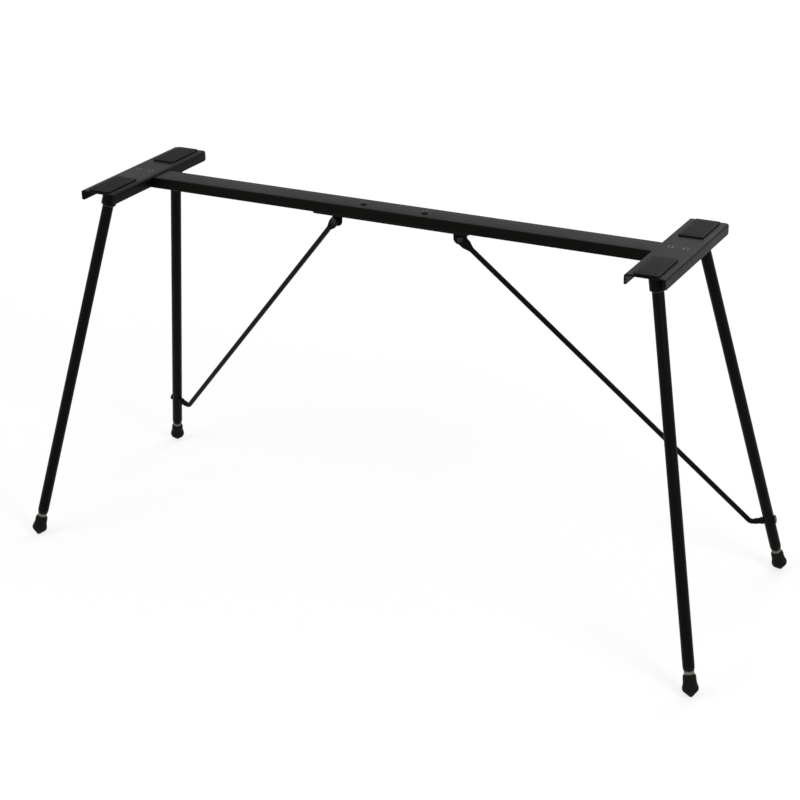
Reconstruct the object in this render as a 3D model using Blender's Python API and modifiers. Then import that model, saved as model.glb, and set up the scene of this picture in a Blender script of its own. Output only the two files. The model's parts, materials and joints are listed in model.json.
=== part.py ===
"""Four-legged keyboard stand.

Four round legs screw into angled sockets under two side brackets. A flat
spine joins the brackets. Two bent brace rods run from the rear legs up to a
bracket in the middle of the spine. Each leg ends in a levelling foot.
Metres, +Z up, origin on the floor in the middle of the four feet.
"""
from math import cos, pi, radians, sin, sqrt, tan

import bmesh
import bpy
from mathutils import Matrix, Vector

# Driving dimensions of the whole stand
SEAT_HEIGHT = 0.680
LEG_SPACING_X = 1.0405
LEG_SPACING_Y = 0.204
LEG_TILT = radians(16.15)
LEG_SPLAY = radians(45.0)
GAP = 0.0003
THROUGH = 0.010
EDGE = 0.001

# Side brackets, the folded steel channels that carry the instrument
PAD_THICKNESS = 0.003
PAD_WIDTH = 0.044
PAD_LENGTH = 0.090
PAD_EDGE = 0.0009
PLATE_THICKNESS = 0.003
BRACKET_WIDTH = 0.070
BRACKET_END = 0.049
BRACKET_LENGTH = LEG_SPACING_Y + 2 * BRACKET_END
BRACKET_DEPTH = 0.016
BRACKET_CORNER = 0.003

# Spine, a flat rectangular tube, and the screws at its ends
SPINE_WIDTH = 0.050
SPINE_HEIGHT = 0.020
SPINE_WALL = 0.002
SPINE_OVERLAP = 0.024
SPINE_SCREW_PITCH = 0.026
SCREW_RADIUS = 0.003
SCREW_SINK_RADIUS = 0.0058
SCREW_HEAD_RADIUS = 0.0055
SCREW_HEAD_HEIGHT = 0.0033
LOW_HEAD_HEIGHT = 0.0025
SCREW_HEAD_FLAT = 0.72
SCREW_HEAD_RIM = 0.6
SCREW_TAIL = 0.002
NUT_FLATS = 0.010
NUT_HEIGHT = 0.005

# Leg sockets, turned bosses under the brackets
SOCKET_RADIUS = 0.0135
SOCKET_LENGTH = 0.034
SOCKET_CHAMFER = 0.0015

# Legs
LEG_RADIUS = 0.010
LEG_WALL = 0.0015
STUD_RADIUS = 0.006
STUD_LENGTH = 0.020
STUD_COLLAR = 0.002
STUD_SHANK = 0.025
PLUG_COLLAR = 0.0072
PLUG_RIM = 0.0026
PLUG_RIM_RADIUS = 0.0098
PLUG_END_RADIUS = 0.0090
PLUG_SHANK = 0.022

# Levelling feet
STEM_RADIUS = 0.005
STEM_LENGTH = 0.052
STEM_BURIED = 0.020
LOCK_NUT_FLATS = 0.016
LOCK_NUT_HEIGHT = 0.0064
FOOT_HEIGHT = 0.0387
FOOT_TOP_RADIUS = 0.0091
FOOT_NECK_RADIUS = 0.0113
FOOT_RADIUS = 0.0138
FOOT_NOSE_RADIUS = 0.0045
FOOT_SHOULDER = 0.0065
FOOT_WIDEST_AT = 0.0150
FOOT_CONE_RADIUS = 0.0121
FOOT_CONE_BULGE = 0.0133

# Braces
BRACE_RADIUS = 0.0047
BRACE_JOINT_HEIGHT = 0.1055
BRACE_STUB = 0.0339
BRACE_STUB_YAW = radians(13.0)
BRACE_BEND_RADIUS = 0.010
BRACE_END_RADIUS = 0.0054
BRACE_END_LENGTH = 0.0095
BRACE_END_TAPER = 0.0015
BRACE_END_EDGE = 0.0005
BRACE_TOP_X = 0.0796
BRACE_TOP_Y = -0.0090
BRACE_TAB_WIDTH = 0.018
BRACE_TAB_THICKNESS = 0.004
BRACE_TAB_LENGTH = 0.030
BRACE_TAB_OVERLAP = 0.012
BRACE_PIVOT_DROP = 0.048
SPACER_RADIUS = 0.0065
SPACER_LENGTH = 0.0055
SPACER_HOLLOW = 0.002
BOLT_HEAD_RADIUS = 0.0080
BOLT_HEAD_HEIGHT = 0.0026
BOLT_HEAD_SHAPE = ((0.0, 1.0), (0.7, 1.0), (0.9, 0.85), (1.0, 0.55), (1.0, 0.0))
BOLT_ENGAGEMENT = 0.010

# Brace bracket under the spine
BASE_THICKNESS = 0.003
BASE_WIDTH = 0.044
BASE_MARGIN = 0.030
BASE_SCREW_X = 0.060
EAR_THICKNESS = 0.004
EAR_RADIUS = 0.012

# Fineness of the round pieces
LEG_SIDES = 24
SMALL_SIDES = 16
ARC_STEPS = 4
TONGUE_STEPS = 10

# Heights that follow from the sizes above
PLATE_TOP = SEAT_HEIGHT - PAD_THICKNESS - GAP
PLATE_UNDERSIDE = PLATE_TOP - PLATE_THICKNESS
SPINE_TOP = PLATE_UNDERSIDE - GAP
SPINE_UNDERSIDE = SPINE_TOP - SPINE_HEIGHT
BASE_TOP = SPINE_UNDERSIDE - GAP
BASE_UNDERSIDE = BASE_TOP - BASE_THICKNESS
BORE = SCREW_RADIUS + GAP

# Places along a leg, measured down its axis from the seat plane
TIP_AT = (SEAT_HEIGHT - FOOT_NOSE_RADIUS) / cos(LEG_TILT) + FOOT_NOSE_RADIUS
SOCKET_END = SOCKET_LENGTH + (SEAT_HEIGHT - SPINE_TOP) / cos(LEG_TILT)
FOOT_TOP = TIP_AT - FOOT_HEIGHT
NUT_AT = FOOT_TOP - GAP
PLUG_END = NUT_AT - LOCK_NUT_HEIGHT - GAP
TUBE_END = PLUG_END - PLUG_COLLAR - GAP
TUBE_START = SOCKET_END + GAP + STUD_COLLAR + GAP

LEG_NAMES = {"front_left": (-1, -1), "front_right": (1, -1), "rear_left": (-1, 1), "rear_right": (1, 1)}
SIDES = {"left": -1, "right": 1}


def clear_scene():
    """Remove what the new file holds and make the two collections."""
    for item in list(bpy.data.objects):
        bpy.data.objects.remove(item, do_unlink=True)
    made = []
    for name in ("keyboard_stand", "cutters"):
        group = bpy.data.collections.new(name)
        bpy.context.scene.collection.children.link(group)
        made.append(group)
    return made


PARTS, CUTTERS = clear_scene()


def material(name, colour, roughness, metallic):
    """A Principled BSDF material with plain values."""
    made = bpy.data.materials.new(name)
    made.use_nodes = True
    shader = made.node_tree.nodes["Principled BSDF"]
    shader.inputs["Base Color"].default_value = (*colour, 1.0)
    shader.inputs["Roughness"].default_value = roughness
    shader.inputs["Metallic"].default_value = metallic
    made.diffuse_color = (*colour, 1.0)
    return made


MATERIALS = {
    "black_coat": material("black_coat", (0.012, 0.012, 0.011), 0.42, 0.0),
    "black_plastic": material("black_plastic", (0.015, 0.015, 0.015), 0.50, 0.0),
    "rubber": material("rubber", (0.010, 0.010, 0.010), 0.75, 0.0),
    "zinc": material("zinc", (0.42, 0.42, 0.40), 0.35, 1.0),
    "black_zinc": material("black_zinc", (0.030, 0.030, 0.030), 0.40, 1.0),
}


def link(name, mesh, matrix, slot, group=None):
    """An object with its own copy of a material, in a collection."""
    item = bpy.data.objects.new(name, mesh)
    (group or PARTS).objects.link(item)
    item.matrix_world = matrix
    if slot:
        own = MATERIALS[slot].copy()
        own.name = name + "_" + slot
        mesh.materials.clear()
        mesh.materials.append(own)
    return item


def finish_mesh(work, name, smooth=True):
    """A Mesh from a BMesh, faces outward, shaded smooth up to 35 degrees."""
    bmesh.ops.recalc_face_normals(work, faces=work.faces)
    mesh = bpy.data.meshes.new(name)
    work.to_mesh(mesh)
    work.free()
    if smooth:
        mesh.shade_smooth()
        mesh.set_sharp_from_angle(angle=radians(35.0))
    return mesh


def box_mesh(name, size, centre=(0.0, 0.0, 0.0)):
    """A box of the given size about a centre."""
    work = bmesh.new()
    bmesh.ops.create_cube(work, size=1.0)
    bmesh.ops.scale(work, verts=work.verts, vec=size)
    bmesh.ops.translate(work, verts=work.verts, vec=centre)
    return finish_mesh(work, name, smooth=False)


def prism_mesh(name, radius, start, end, sides):
    """A straight prism or cylinder along local Z."""
    work = bmesh.new()
    bmesh.ops.create_cone(work, cap_ends=True, segments=sides, radius1=radius, radius2=radius,
                          depth=end - start)
    bmesh.ops.translate(work, verts=work.verts, vec=(0.0, 0.0, (start + end) / 2))
    return finish_mesh(work, name)


def turned_mesh(name, profile, sides, closed=False):
    """A profile of (radius, height) points turned about local Z.

    The points run down the outer side. A closed profile is a ring.
    """
    mesh = bpy.data.meshes.new(name + "_profile")
    edges = [(i, i + 1) for i in range(len(profile) - 1)]
    if closed:
        edges.append((len(profile) - 1, 0))
    mesh.from_pydata([(radius, 0.0, height) for radius, height in profile], edges, [])
    guide = bpy.data.objects.new(name + "_guide", mesh)
    CUTTERS.objects.link(guide)
    screw = guide.modifiers.new("turn", "SCREW")
    screw.axis = "Z"
    screw.angle = 2 * pi
    screw.steps = sides
    screw.render_steps = sides
    screw.use_merge_vertices = True
    screw.merge_threshold = 0.00001
    solid = evaluated_mesh(guide, name)
    bpy.data.objects.remove(guide, do_unlink=True)
    work = bmesh.new()
    work.from_mesh(solid)
    bmesh.ops.remove_doubles(work, verts=work.verts, dist=0.000005)
    return finish_mesh(work, name)


def evaluated_mesh(item, name):
    """The mesh of an object with its modifiers applied, in its own frame."""
    bpy.context.view_layer.update()
    graph = bpy.context.evaluated_depsgraph_get()
    mesh = bpy.data.meshes.new_from_object(item.evaluated_get(graph))
    mesh.name = name
    return mesh


def rod_mesh(name, points, radius, resolution):
    """A round bar along points, from a curve with filled caps."""
    curve = bpy.data.curves.new(name + "_path", "CURVE")
    curve.dimensions = "3D"
    curve.bevel_depth = radius
    curve.bevel_resolution = resolution
    curve.use_fill_caps = True
    spline = curve.splines.new("POLY")
    spline.points.add(len(points) - 1)
    for point, place in zip(spline.points, points):
        point.co = (*place, 1.0)
    guide = bpy.data.objects.new(name + "_guide", curve)
    CUTTERS.objects.link(guide)
    mesh = evaluated_mesh(guide, name)
    bpy.data.objects.remove(guide, do_unlink=True)
    work = bmesh.new()
    work.from_mesh(mesh)
    bmesh.ops.remove_doubles(work, verts=work.verts, dist=0.000005)
    return finish_mesh(work, name)


def tongue_mesh(name, width, length, thickness):
    """A flat tongue along local -X with a round end about the origin."""
    curve = bpy.data.curves.new(name + "_outline", "CURVE")
    curve.dimensions = "2D"
    curve.fill_mode = "BOTH"
    curve.extrude = thickness / 2
    half = width / 2
    points = [(-length, half), (-length, -half)]
    for step in range(TONGUE_STEPS + 1):
        angle = pi * (step / TONGUE_STEPS - 0.5)
        points.append((half * cos(angle), half * sin(angle)))
    spline = curve.splines.new("POLY")
    spline.points.add(len(points) - 1)
    spline.use_cyclic_u = True
    for point, place in zip(spline.points, points):
        point.co = (*place, 0.0, 1.0)
    guide = bpy.data.objects.new(name + "_guide", curve)
    CUTTERS.objects.link(guide)
    mesh = evaluated_mesh(guide, name)
    bpy.data.objects.remove(guide, do_unlink=True)
    work = bmesh.new()
    work.from_mesh(mesh)
    bmesh.ops.remove_doubles(work, verts=work.verts, dist=0.000005)
    return finish_mesh(work, name, smooth=False)


def combine(target, mesh, matrix, operation):
    """Cut a mesh out of an object, or weld it on, with the exact solver."""
    cutter = bpy.data.objects.new(target.name + "_tool", mesh)
    CUTTERS.objects.link(cutter)
    cutter.matrix_world = matrix
    cutter.hide_render = True
    cutter.display_type = "WIRE"
    boolean = target.modifiers.new(operation.lower(), "BOOLEAN")
    boolean.operation = operation
    boolean.solver = "EXACT"
    boolean.object = cutter
    shaped = evaluated_mesh(target, target.name)
    target.modifiers.clear()
    own = target.data.materials[0] if target.data.materials else None
    target.data = shaped
    target.data.materials.clear()
    if own:
        target.data.materials.append(own)
    bpy.data.objects.remove(cutter, do_unlink=True)
    return target


def cut(target, mesh, matrix=Matrix.Identity(4)):
    return combine(target, mesh, matrix, "DIFFERENCE")


def weld(target, mesh, matrix=Matrix.Identity(4)):
    return combine(target, mesh, matrix, "UNION")


def frame_at(place, up, side=Vector((1.0, 0.0, 0.0))):
    """A matrix at a place with local Z along up and local X near side."""
    axis_z = Vector(up).normalized()
    axis_y = axis_z.cross(side).normalized()
    axis_x = axis_y.cross(axis_z).normalized()
    turn = Matrix((axis_x, axis_y, axis_z)).transposed().to_4x4()
    return Matrix.Translation(place) @ turn


def leg_direction(signs):
    """Unit vector down a leg, leaning out along the splay."""
    lean = sin(LEG_TILT)
    return Vector((signs[0] * lean * sin(LEG_SPLAY), signs[1] * lean * cos(LEG_SPLAY), -cos(LEG_TILT)))


def leg_top(signs):
    """Where a leg's axis meets the seat plane."""
    return Vector((signs[0] * LEG_SPACING_X / 2, signs[1] * LEG_SPACING_Y / 2, SEAT_HEIGHT))


def leg_frame(signs):
    """The leg's own frame: origin on the seat plane, local Z up the leg."""
    return frame_at(leg_top(signs), -leg_direction(signs))


def screw_profile(head_radius, head_height, length, sunk_radius=None):
    """A machine screw: a low round head, or a countersunk one, over a plain shank."""
    if sunk_radius:
        return [(0.0, 0.0), (sunk_radius, 0.0), (SCREW_RADIUS, SCREW_RADIUS - sunk_radius),
                (SCREW_RADIUS, -length), (0.0, -length)]
    return [(0.0, head_height), (head_radius * SCREW_HEAD_FLAT, head_height),
            (head_radius, head_height * SCREW_HEAD_RIM), (head_radius, 0.0), (SCREW_RADIUS, 0.0),
            (SCREW_RADIUS, -length), (0.0, -length)]


def hex_nut(name, matrix, flats, height, bore, slot):
    """A hexagonal nut standing on its frame's origin, with a round bore."""
    radius = flats / 2 / cos(pi / 6)
    item = link(name, prism_mesh(name, radius, 0.0, height, 6), matrix, slot)
    return cut(item, prism_mesh(name + "_bore", bore, -height, 2 * height, SMALL_SIDES), matrix)


def side_bracket(side, sign):
    """A channel folded from plate, open below, notched for the spine."""
    name = side + "_side_bracket"
    centre = Vector((sign * LEG_SPACING_X / 2, 0.0, PLATE_TOP))
    place = Matrix.Translation(centre)
    depth = PLATE_THICKNESS + BRACKET_DEPTH
    item = link(name, box_mesh(name, (BRACKET_WIDTH, BRACKET_LENGTH, depth), (0, 0, -depth / 2)),
                place, "black_coat")
    bevel = item.modifiers.new("corners", "BEVEL")
    bevel.width = BRACKET_CORNER
    bevel.segments = 3
    bevel.limit_method = "ANGLE"
    rounded = evaluated_mesh(item, name)
    item.modifiers.clear()
    own = item.data.materials[0]
    item.data = rounded
    item.data.materials.clear()
    item.data.materials.append(own)
    inner = BRACKET_WIDTH - 2 * PLATE_THICKNESS
    hollow = box_mesh(name, (inner, BRACKET_LENGTH + 2 * THROUGH, BRACKET_DEPTH * 2),
                      (0, 0, -PLATE_THICKNESS - BRACKET_DEPTH))
    cut(item, hollow, place)
    notch = box_mesh(name, (BRACKET_WIDTH / 2, SPINE_WIDTH + 2 * GAP, BRACKET_DEPTH * 2),
                     (-sign * BRACKET_WIDTH / 2, 0, -PLATE_THICKNESS - BRACKET_DEPTH))
    cut(item, notch, place)
    for place_x in spine_screw_places(sign):
        sink = SCREW_SINK_RADIUS + GAP
        profile = [(0.0, EDGE), (sink + EDGE, EDGE), (BORE, BORE - sink), (BORE, -THROUGH), (0.0, -THROUGH)]
        cut(item, turned_mesh(name, profile, SMALL_SIDES),
            Matrix.Translation((place_x, 0.0, PLATE_TOP)))
    return item


def pad(name, signs):
    """A rubber pad on the bracket, over the leg."""
    height = PAD_THICKNESS
    place = Matrix.Translation((signs[0] * LEG_SPACING_X / 2, signs[1] * LEG_SPACING_Y / 2, SEAT_HEIGHT))
    item = link(name, box_mesh(name, (PAD_WIDTH, PAD_LENGTH, height), (0, 0, -height / 2)), place, "rubber")
    bevel = item.modifiers.new("edges", "BEVEL")
    bevel.width = PAD_EDGE
    bevel.segments = 2
    return item


def spine_screw_places(sign):
    """World X of the two screws at one end of the spine."""
    middle = LEG_SPACING_X / 2
    return [sign * (middle + step * SPINE_SCREW_PITCH / 2) for step in (-1, 1)]


def spine():
    """The flat tube between the brackets, drilled for its screws."""
    length = LEG_SPACING_X + 2 * SPINE_OVERLAP
    middle = SPINE_TOP - SPINE_HEIGHT / 2
    place = Matrix.Translation((0.0, 0.0, middle))
    item = link("spine", box_mesh("spine", (length, SPINE_WIDTH, SPINE_HEIGHT)), place, "black_coat")
    bore = (length + 2 * THROUGH, SPINE_WIDTH - 2 * SPINE_WALL, SPINE_HEIGHT - 2 * SPINE_WALL)
    cut(item, box_mesh("spine", bore), place)
    holes = spine_screw_places(-1) + spine_screw_places(1) + [-BASE_SCREW_X, BASE_SCREW_X]
    for place_x in holes:
        hole = prism_mesh("spine", BORE, -SPINE_HEIGHT, SPINE_HEIGHT, SMALL_SIDES)
        cut(item, hole, Matrix.Translation((place_x, 0.0, middle)))
    return item


def spine_fasteners():
    """Countersunk screws down through bracket and spine, and their nuts."""
    for side, sign in SIDES.items():
        for number, place_x in zip(("inner", "outer"), spine_screw_places(sign)):
            name = side + "_spine_screw_" + number
            length = PLATE_TOP - SPINE_UNDERSIDE + GAP + NUT_HEIGHT + SCREW_TAIL
            profile = screw_profile(0, 0, length, SCREW_SINK_RADIUS)
            link(name, turned_mesh(name, profile, SMALL_SIDES),
                 Matrix.Translation((place_x, 0.0, PLATE_TOP)), "black_zinc")
            hex_nut(side + "_spine_nut_" + number,
                    Matrix.Translation((place_x, 0.0, SPINE_UNDERSIDE - GAP - NUT_HEIGHT)),
                    NUT_FLATS, NUT_HEIGHT, BORE, "black_zinc")


def socket(name, signs):
    """A boss in line with the leg, cut level where it meets the bracket."""
    place = leg_frame(signs)
    bore = STUD_RADIUS + GAP
    top = SOCKET_RADIUS * tan(LEG_TILT)
    profile = [(bore, top), (SOCKET_RADIUS, top), (SOCKET_RADIUS, SOCKET_CHAMFER - SOCKET_END),
               (SOCKET_RADIUS - SOCKET_CHAMFER, -SOCKET_END), (bore, -SOCKET_END)]
    item = link(name, turned_mesh(name, profile, LEG_SIDES, closed=True), place, "black_coat")
    wide = 4 * SOCKET_RADIUS
    level = box_mesh(name, (wide, wide, wide), (*leg_top(signs).xy, SPINE_TOP + wide / 2))
    return cut(item, level)


def leg_tube(name, signs):
    """The leg's tube. The rear ones are cross-drilled for the brace bolt."""
    inner = LEG_RADIUS - LEG_WALL
    profile = [(inner, -TUBE_START), (LEG_RADIUS, -TUBE_START), (LEG_RADIUS, -TUBE_END), (inner, -TUBE_END)]
    item = link(name, turned_mesh(name, profile, LEG_SIDES, closed=True), leg_frame(signs), "black_coat")
    if signs[1] > 0:
        joint, outward = brace_joint(signs[0])
        drill = prism_mesh(name, BORE, -2 * LEG_RADIUS, 2 * LEG_RADIUS, SMALL_SIDES)
        cut(item, drill, frame_at(joint, outward))
    return item


def leg_stud(name, signs):
    """The steel plug in the leg's top, with the threaded stud above it."""
    shank = LEG_RADIUS - LEG_WALL - GAP
    seat = -SOCKET_END - GAP
    profile = [(0.0, seat + STUD_LENGTH), (STUD_RADIUS - EDGE, seat + STUD_LENGTH),
               (STUD_RADIUS, seat + STUD_LENGTH - EDGE), (STUD_RADIUS, seat), (LEG_RADIUS, seat),
               (LEG_RADIUS, seat - STUD_COLLAR), (shank, seat - STUD_COLLAR),
               (shank, seat - STUD_SHANK), (0.0, seat - STUD_SHANK)]
    return link(name, turned_mesh(name, profile, SMALL_SIDES), leg_frame(signs), "black_zinc")


def leg_plug(name, signs):
    """The threaded bush in the leg's lower end, with a tapered collar."""
    shank = LEG_RADIUS - LEG_WALL - GAP
    bore = STEM_RADIUS + GAP
    shoulder = -PLUG_END + PLUG_COLLAR
    profile = [(bore, shoulder + PLUG_SHANK), (shank, shoulder + PLUG_SHANK), (shank, shoulder),
               (LEG_RADIUS, shoulder), (PLUG_RIM_RADIUS, shoulder - PLUG_RIM),
               (PLUG_END_RADIUS, -PLUG_END), (bore, -PLUG_END)]
    return link(name, turned_mesh(name, profile, LEG_SIDES, closed=True), leg_frame(signs), "black_plastic")


def foot_profile():
    """Bell-shaped rubber foot: neck, swelling, 45 degree cone, round nose."""
    tip = -TIP_AT
    bore = STEM_RADIUS + GAP
    floor_of_bore = tip + FOOT_HEIGHT - STEM_BURIED - GAP
    top = tip + FOOT_HEIGHT
    points = [(0.0, floor_of_bore), (bore, floor_of_bore), (bore, top), (FOOT_TOP_RADIUS, top)]
    shoulder = FOOT_NECK_RADIUS - FOOT_TOP_RADIUS
    for step in range(1, ARC_STEPS + 1):
        angle = step / ARC_STEPS * pi / 2
        points.append((FOOT_TOP_RADIUS + shoulder * sin(angle), top - FOOT_SHOULDER * (1 - cos(angle))))
    swell = FOOT_RADIUS - FOOT_NECK_RADIUS
    waist = top - FOOT_SHOULDER
    widest = tip + FOOT_WIDEST_AT
    for step in range(1, ARC_STEPS + 1):
        share = step / ARC_STEPS
        eased = (1 - cos(pi * share)) / 2 * share
        points.append((FOOT_NECK_RADIUS + swell * eased, waist + (widest - waist) * share))
    cone_end = tip + FOOT_CONE_RADIUS - FOOT_NOSE_RADIUS * (sqrt(2) - 1)
    points.append((FOOT_CONE_BULGE, (widest + cone_end) / 2))
    points.append((FOOT_CONE_RADIUS, cone_end))
    for step in range(ARC_STEPS + 1):
        angle = pi / 4 * (1 - step / ARC_STEPS)
        points.append((FOOT_NOSE_RADIUS * sin(angle), tip + FOOT_NOSE_RADIUS * (1 - cos(angle))))
    points[-1] = (0.0, tip)
    return points


def foot_parts(prefix, signs):
    """Lock nut, threaded stem and rubber foot of one leg."""
    place = leg_frame(signs)
    bore = STEM_RADIUS + GAP
    hex_nut(prefix + "_lock_nut", place @ Matrix.Translation((0, 0, -NUT_AT)), LOCK_NUT_FLATS,
            LOCK_NUT_HEIGHT, bore, "zinc")
    bottom = -FOOT_TOP - STEM_BURIED
    top = bottom + STEM_LENGTH
    profile = [(0.0, top), (STEM_RADIUS - EDGE, top), (STEM_RADIUS, top - EDGE), (STEM_RADIUS, bottom),
               (0.0, bottom)]
    link(prefix + "_foot_stem", turned_mesh(prefix, profile, SMALL_SIDES), place, "zinc")
    link(prefix + "_foot", turned_mesh(prefix, foot_profile(), LEG_SIDES), place, "rubber")


def brace_joint(sign):
    """Where a brace bolt crosses a rear leg's axis, and the bolt's outward direction."""
    signs = (sign, 1)
    down = leg_direction(signs)
    along = (SEAT_HEIGHT - BRACE_JOINT_HEIGHT) / cos(LEG_TILT)
    joint = leg_top(signs) + down * along
    level = Vector((sign * cos(BRACE_STUB_YAW), sin(BRACE_STUB_YAW), 0.0))
    outward = (level - down * level.dot(down)).normalized()
    return joint, outward


def brace_points(sign):
    """The kink, the pivot, and the unit vector up the brace."""
    joint, outward = brace_joint(sign)
    kink = joint - outward * BRACE_STUB
    top = Vector((sign * BRACE_TOP_X, BRACE_TOP_Y, SEAT_HEIGHT))
    upward = (top - kink).normalized()
    pivot = top - upward * (BRACE_PIVOT_DROP / upward.z)
    return kink, pivot, upward


def pivot_axis(sign):
    """Level direction square to the brace, pointing to the rear."""
    upward = brace_points(sign)[2]
    level = Vector((upward.y, -upward.x, 0.0)).normalized()
    return level if level.y > 0 else -level


def brace(side, sign):
    """One bent rod with a flattened, drilled upper end and a swaged, bored lower end."""
    name = side + "_brace"
    joint, outward = brace_joint(sign)
    kink, pivot, upward = brace_points(sign)
    end = joint - outward * (LEG_RADIUS + GAP + SPACER_LENGTH + GAP)
    inward = -outward
    turn = inward.angle(upward)
    setback = BRACE_BEND_RADIUS * tan(turn / 2)
    points = [end]
    first = kink - inward * setback
    last = kink + upward * setback
    centre_way = (upward - inward).normalized()
    centre = kink + centre_way * (BRACE_BEND_RADIUS / cos(turn / 2))
    for step in range(ARC_STEPS + 1):
        share = step / ARC_STEPS
        blend = (first - centre).lerp(last - centre, share).normalized()
        points.append(centre + blend * BRACE_BEND_RADIUS)
    points.append(pivot - upward * (BRACE_TAB_LENGTH - BRACE_TAB_OVERLAP))
    item = link(name, rod_mesh(name, points, BRACE_RADIUS, 4), Matrix.Identity(4), "black_coat")
    across = pivot_axis(sign)
    tab_frame = frame_at(pivot, across, upward)
    weld(item, tongue_mesh(name, BRACE_TAB_WIDTH, BRACE_TAB_LENGTH, BRACE_TAB_THICKNESS), tab_frame)
    cut(item, prism_mesh(name, BORE, -THROUGH, THROUGH, SMALL_SIDES), tab_frame)
    swage = [(0.0, 0.0), (BRACE_END_RADIUS - BRACE_END_EDGE, 0.0), (BRACE_END_RADIUS, -BRACE_END_EDGE),
             (BRACE_END_RADIUS, -BRACE_END_LENGTH), (BRACE_RADIUS, -BRACE_END_LENGTH - BRACE_END_TAPER),
             (0.0, -BRACE_END_LENGTH - BRACE_END_TAPER)]
    weld(item, turned_mesh(name, swage, SMALL_SIDES), frame_at(end, outward))
    depth = BOLT_ENGAGEMENT + GAP
    cut(item, prism_mesh(name, BORE, -depth, depth, SMALL_SIDES), frame_at(end, outward))
    return item


def brace_spacer(side, sign):
    """A ring between leg and brace, hollowed to the leg's curve."""
    name = side + "_brace_spacer"
    joint, outward = brace_joint(sign)
    outer_end = joint - outward * (LEG_RADIUS - SPACER_HOLLOW)
    place = frame_at(outer_end, outward)
    length = SPACER_HOLLOW + GAP + SPACER_LENGTH
    profile = [(BORE, 0.0), (SPACER_RADIUS, 0.0), (SPACER_RADIUS, -length), (BORE, -length)]
    item = link(name, turned_mesh(name, profile, SMALL_SIDES, closed=True), place, "black_plastic")
    clear = prism_mesh(name, LEG_RADIUS + GAP, -TUBE_END, -TUBE_START, LEG_SIDES)
    return cut(item, clear, leg_frame((sign, 1)))


def brace_bolt(side, sign):
    """A wide low-headed bolt, in from outside the leg."""
    name = side + "_brace_bolt"
    joint, outward = brace_joint(sign)
    place = frame_at(joint + outward * (LEG_RADIUS + GAP), outward)
    length = 2 * LEG_RADIUS + 3 * GAP + SPACER_LENGTH + BOLT_ENGAGEMENT - GAP
    profile = [(wide * BOLT_HEAD_RADIUS, high * BOLT_HEAD_HEIGHT) for wide, high in BOLT_HEAD_SHAPE]
    profile += [(SCREW_RADIUS, 0.0), (SCREW_RADIUS, -length), (0.0, -length)]
    return link(name, turned_mesh(name, profile, SMALL_SIDES), place, "black_zinc")


def brace_bracket():
    """The plate under the spine with its two drilled ears."""
    name = "brace_bracket"
    reach = abs(brace_points(1)[1].x) + BASE_MARGIN
    middle = BASE_TOP - BASE_THICKNESS / 2
    item = link(name, box_mesh(name, (2 * reach, BASE_WIDTH, BASE_THICKNESS)),
                Matrix.Translation((0, 0, middle)), "black_coat")
    for sign in SIDES.values():
        pivot = brace_points(sign)[1]
        across = pivot_axis(sign)
        middle_of_ear = pivot + across * (BRACE_TAB_THICKNESS / 2 + GAP + EAR_THICKNESS / 2)
        place = frame_at(middle_of_ear, across, Vector((0.0, 0.0, -1.0)))
        rise = middle - pivot.z
        weld(item, tongue_mesh(name, 2 * EAR_RADIUS, rise, EAR_THICKNESS), place)
        cut(item, prism_mesh(name, BORE, -THROUGH, THROUGH, SMALL_SIDES), place)
        cut(item, prism_mesh(name, BORE, -THROUGH, THROUGH, SMALL_SIDES),
            Matrix.Translation((sign * BASE_SCREW_X, 0, middle)))
    return item


def bracket_fasteners():
    """The screws that hold the brace bracket to the spine, and their nuts."""
    for side, sign in SIDES.items():
        length = GAP + SPINE_HEIGHT + GAP + BASE_THICKNESS + GAP + NUT_HEIGHT + SCREW_TAIL
        name = side + "_bracket_screw"
        profile = screw_profile(SCREW_HEAD_RADIUS, LOW_HEAD_HEIGHT, length)
        link(name, turned_mesh(name, profile, SMALL_SIDES),
             Matrix.Translation((sign * BASE_SCREW_X, 0, SPINE_TOP + GAP)), "black_zinc")
        hex_nut(side + "_bracket_nut",
                Matrix.Translation((sign * BASE_SCREW_X, 0, BASE_UNDERSIDE - GAP - NUT_HEIGHT)),
                NUT_FLATS, NUT_HEIGHT, BORE, "black_zinc")


def pivot_fasteners():
    """The screw and nut that hold each brace to its ear."""
    for side, sign in SIDES.items():
        pivot = brace_points(sign)[1]
        across = pivot_axis(sign)
        head_seat = pivot - across * (BRACE_TAB_THICKNESS / 2 + GAP)
        length = 2 * GAP + BRACE_TAB_THICKNESS + EAR_THICKNESS + GAP + NUT_HEIGHT + SCREW_TAIL
        name = side + "_pivot_screw"
        profile = screw_profile(SCREW_HEAD_RADIUS, SCREW_HEAD_HEIGHT, length)
        link(name, turned_mesh(name, profile, SMALL_SIDES), frame_at(head_seat, -across), "black_zinc")
        nut_seat = pivot + across * (BRACE_TAB_THICKNESS / 2 + GAP + EAR_THICKNESS + GAP)
        hex_nut(side + "_pivot_nut", frame_at(nut_seat, across), NUT_FLATS, NUT_HEIGHT, BORE, "black_zinc")


def build():
    """Every piece of the stand."""
    for side, sign in SIDES.items():
        side_bracket(side, sign)
        brace(side, sign)
        brace_spacer(side, sign)
        brace_bolt(side, sign)
    spine()
    spine_fasteners()
    brace_bracket()
    bracket_fasteners()
    pivot_fasteners()
    for prefix, signs in LEG_NAMES.items():
        pad(prefix + "_pad", signs)
        socket(prefix + "_leg_socket", signs)
        leg_tube(prefix + "_leg_tube", signs)
        leg_stud(prefix + "_leg_stud", signs)
        leg_plug(prefix + "_leg_plug", signs)
        foot_parts(prefix, signs)


build()
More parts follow.
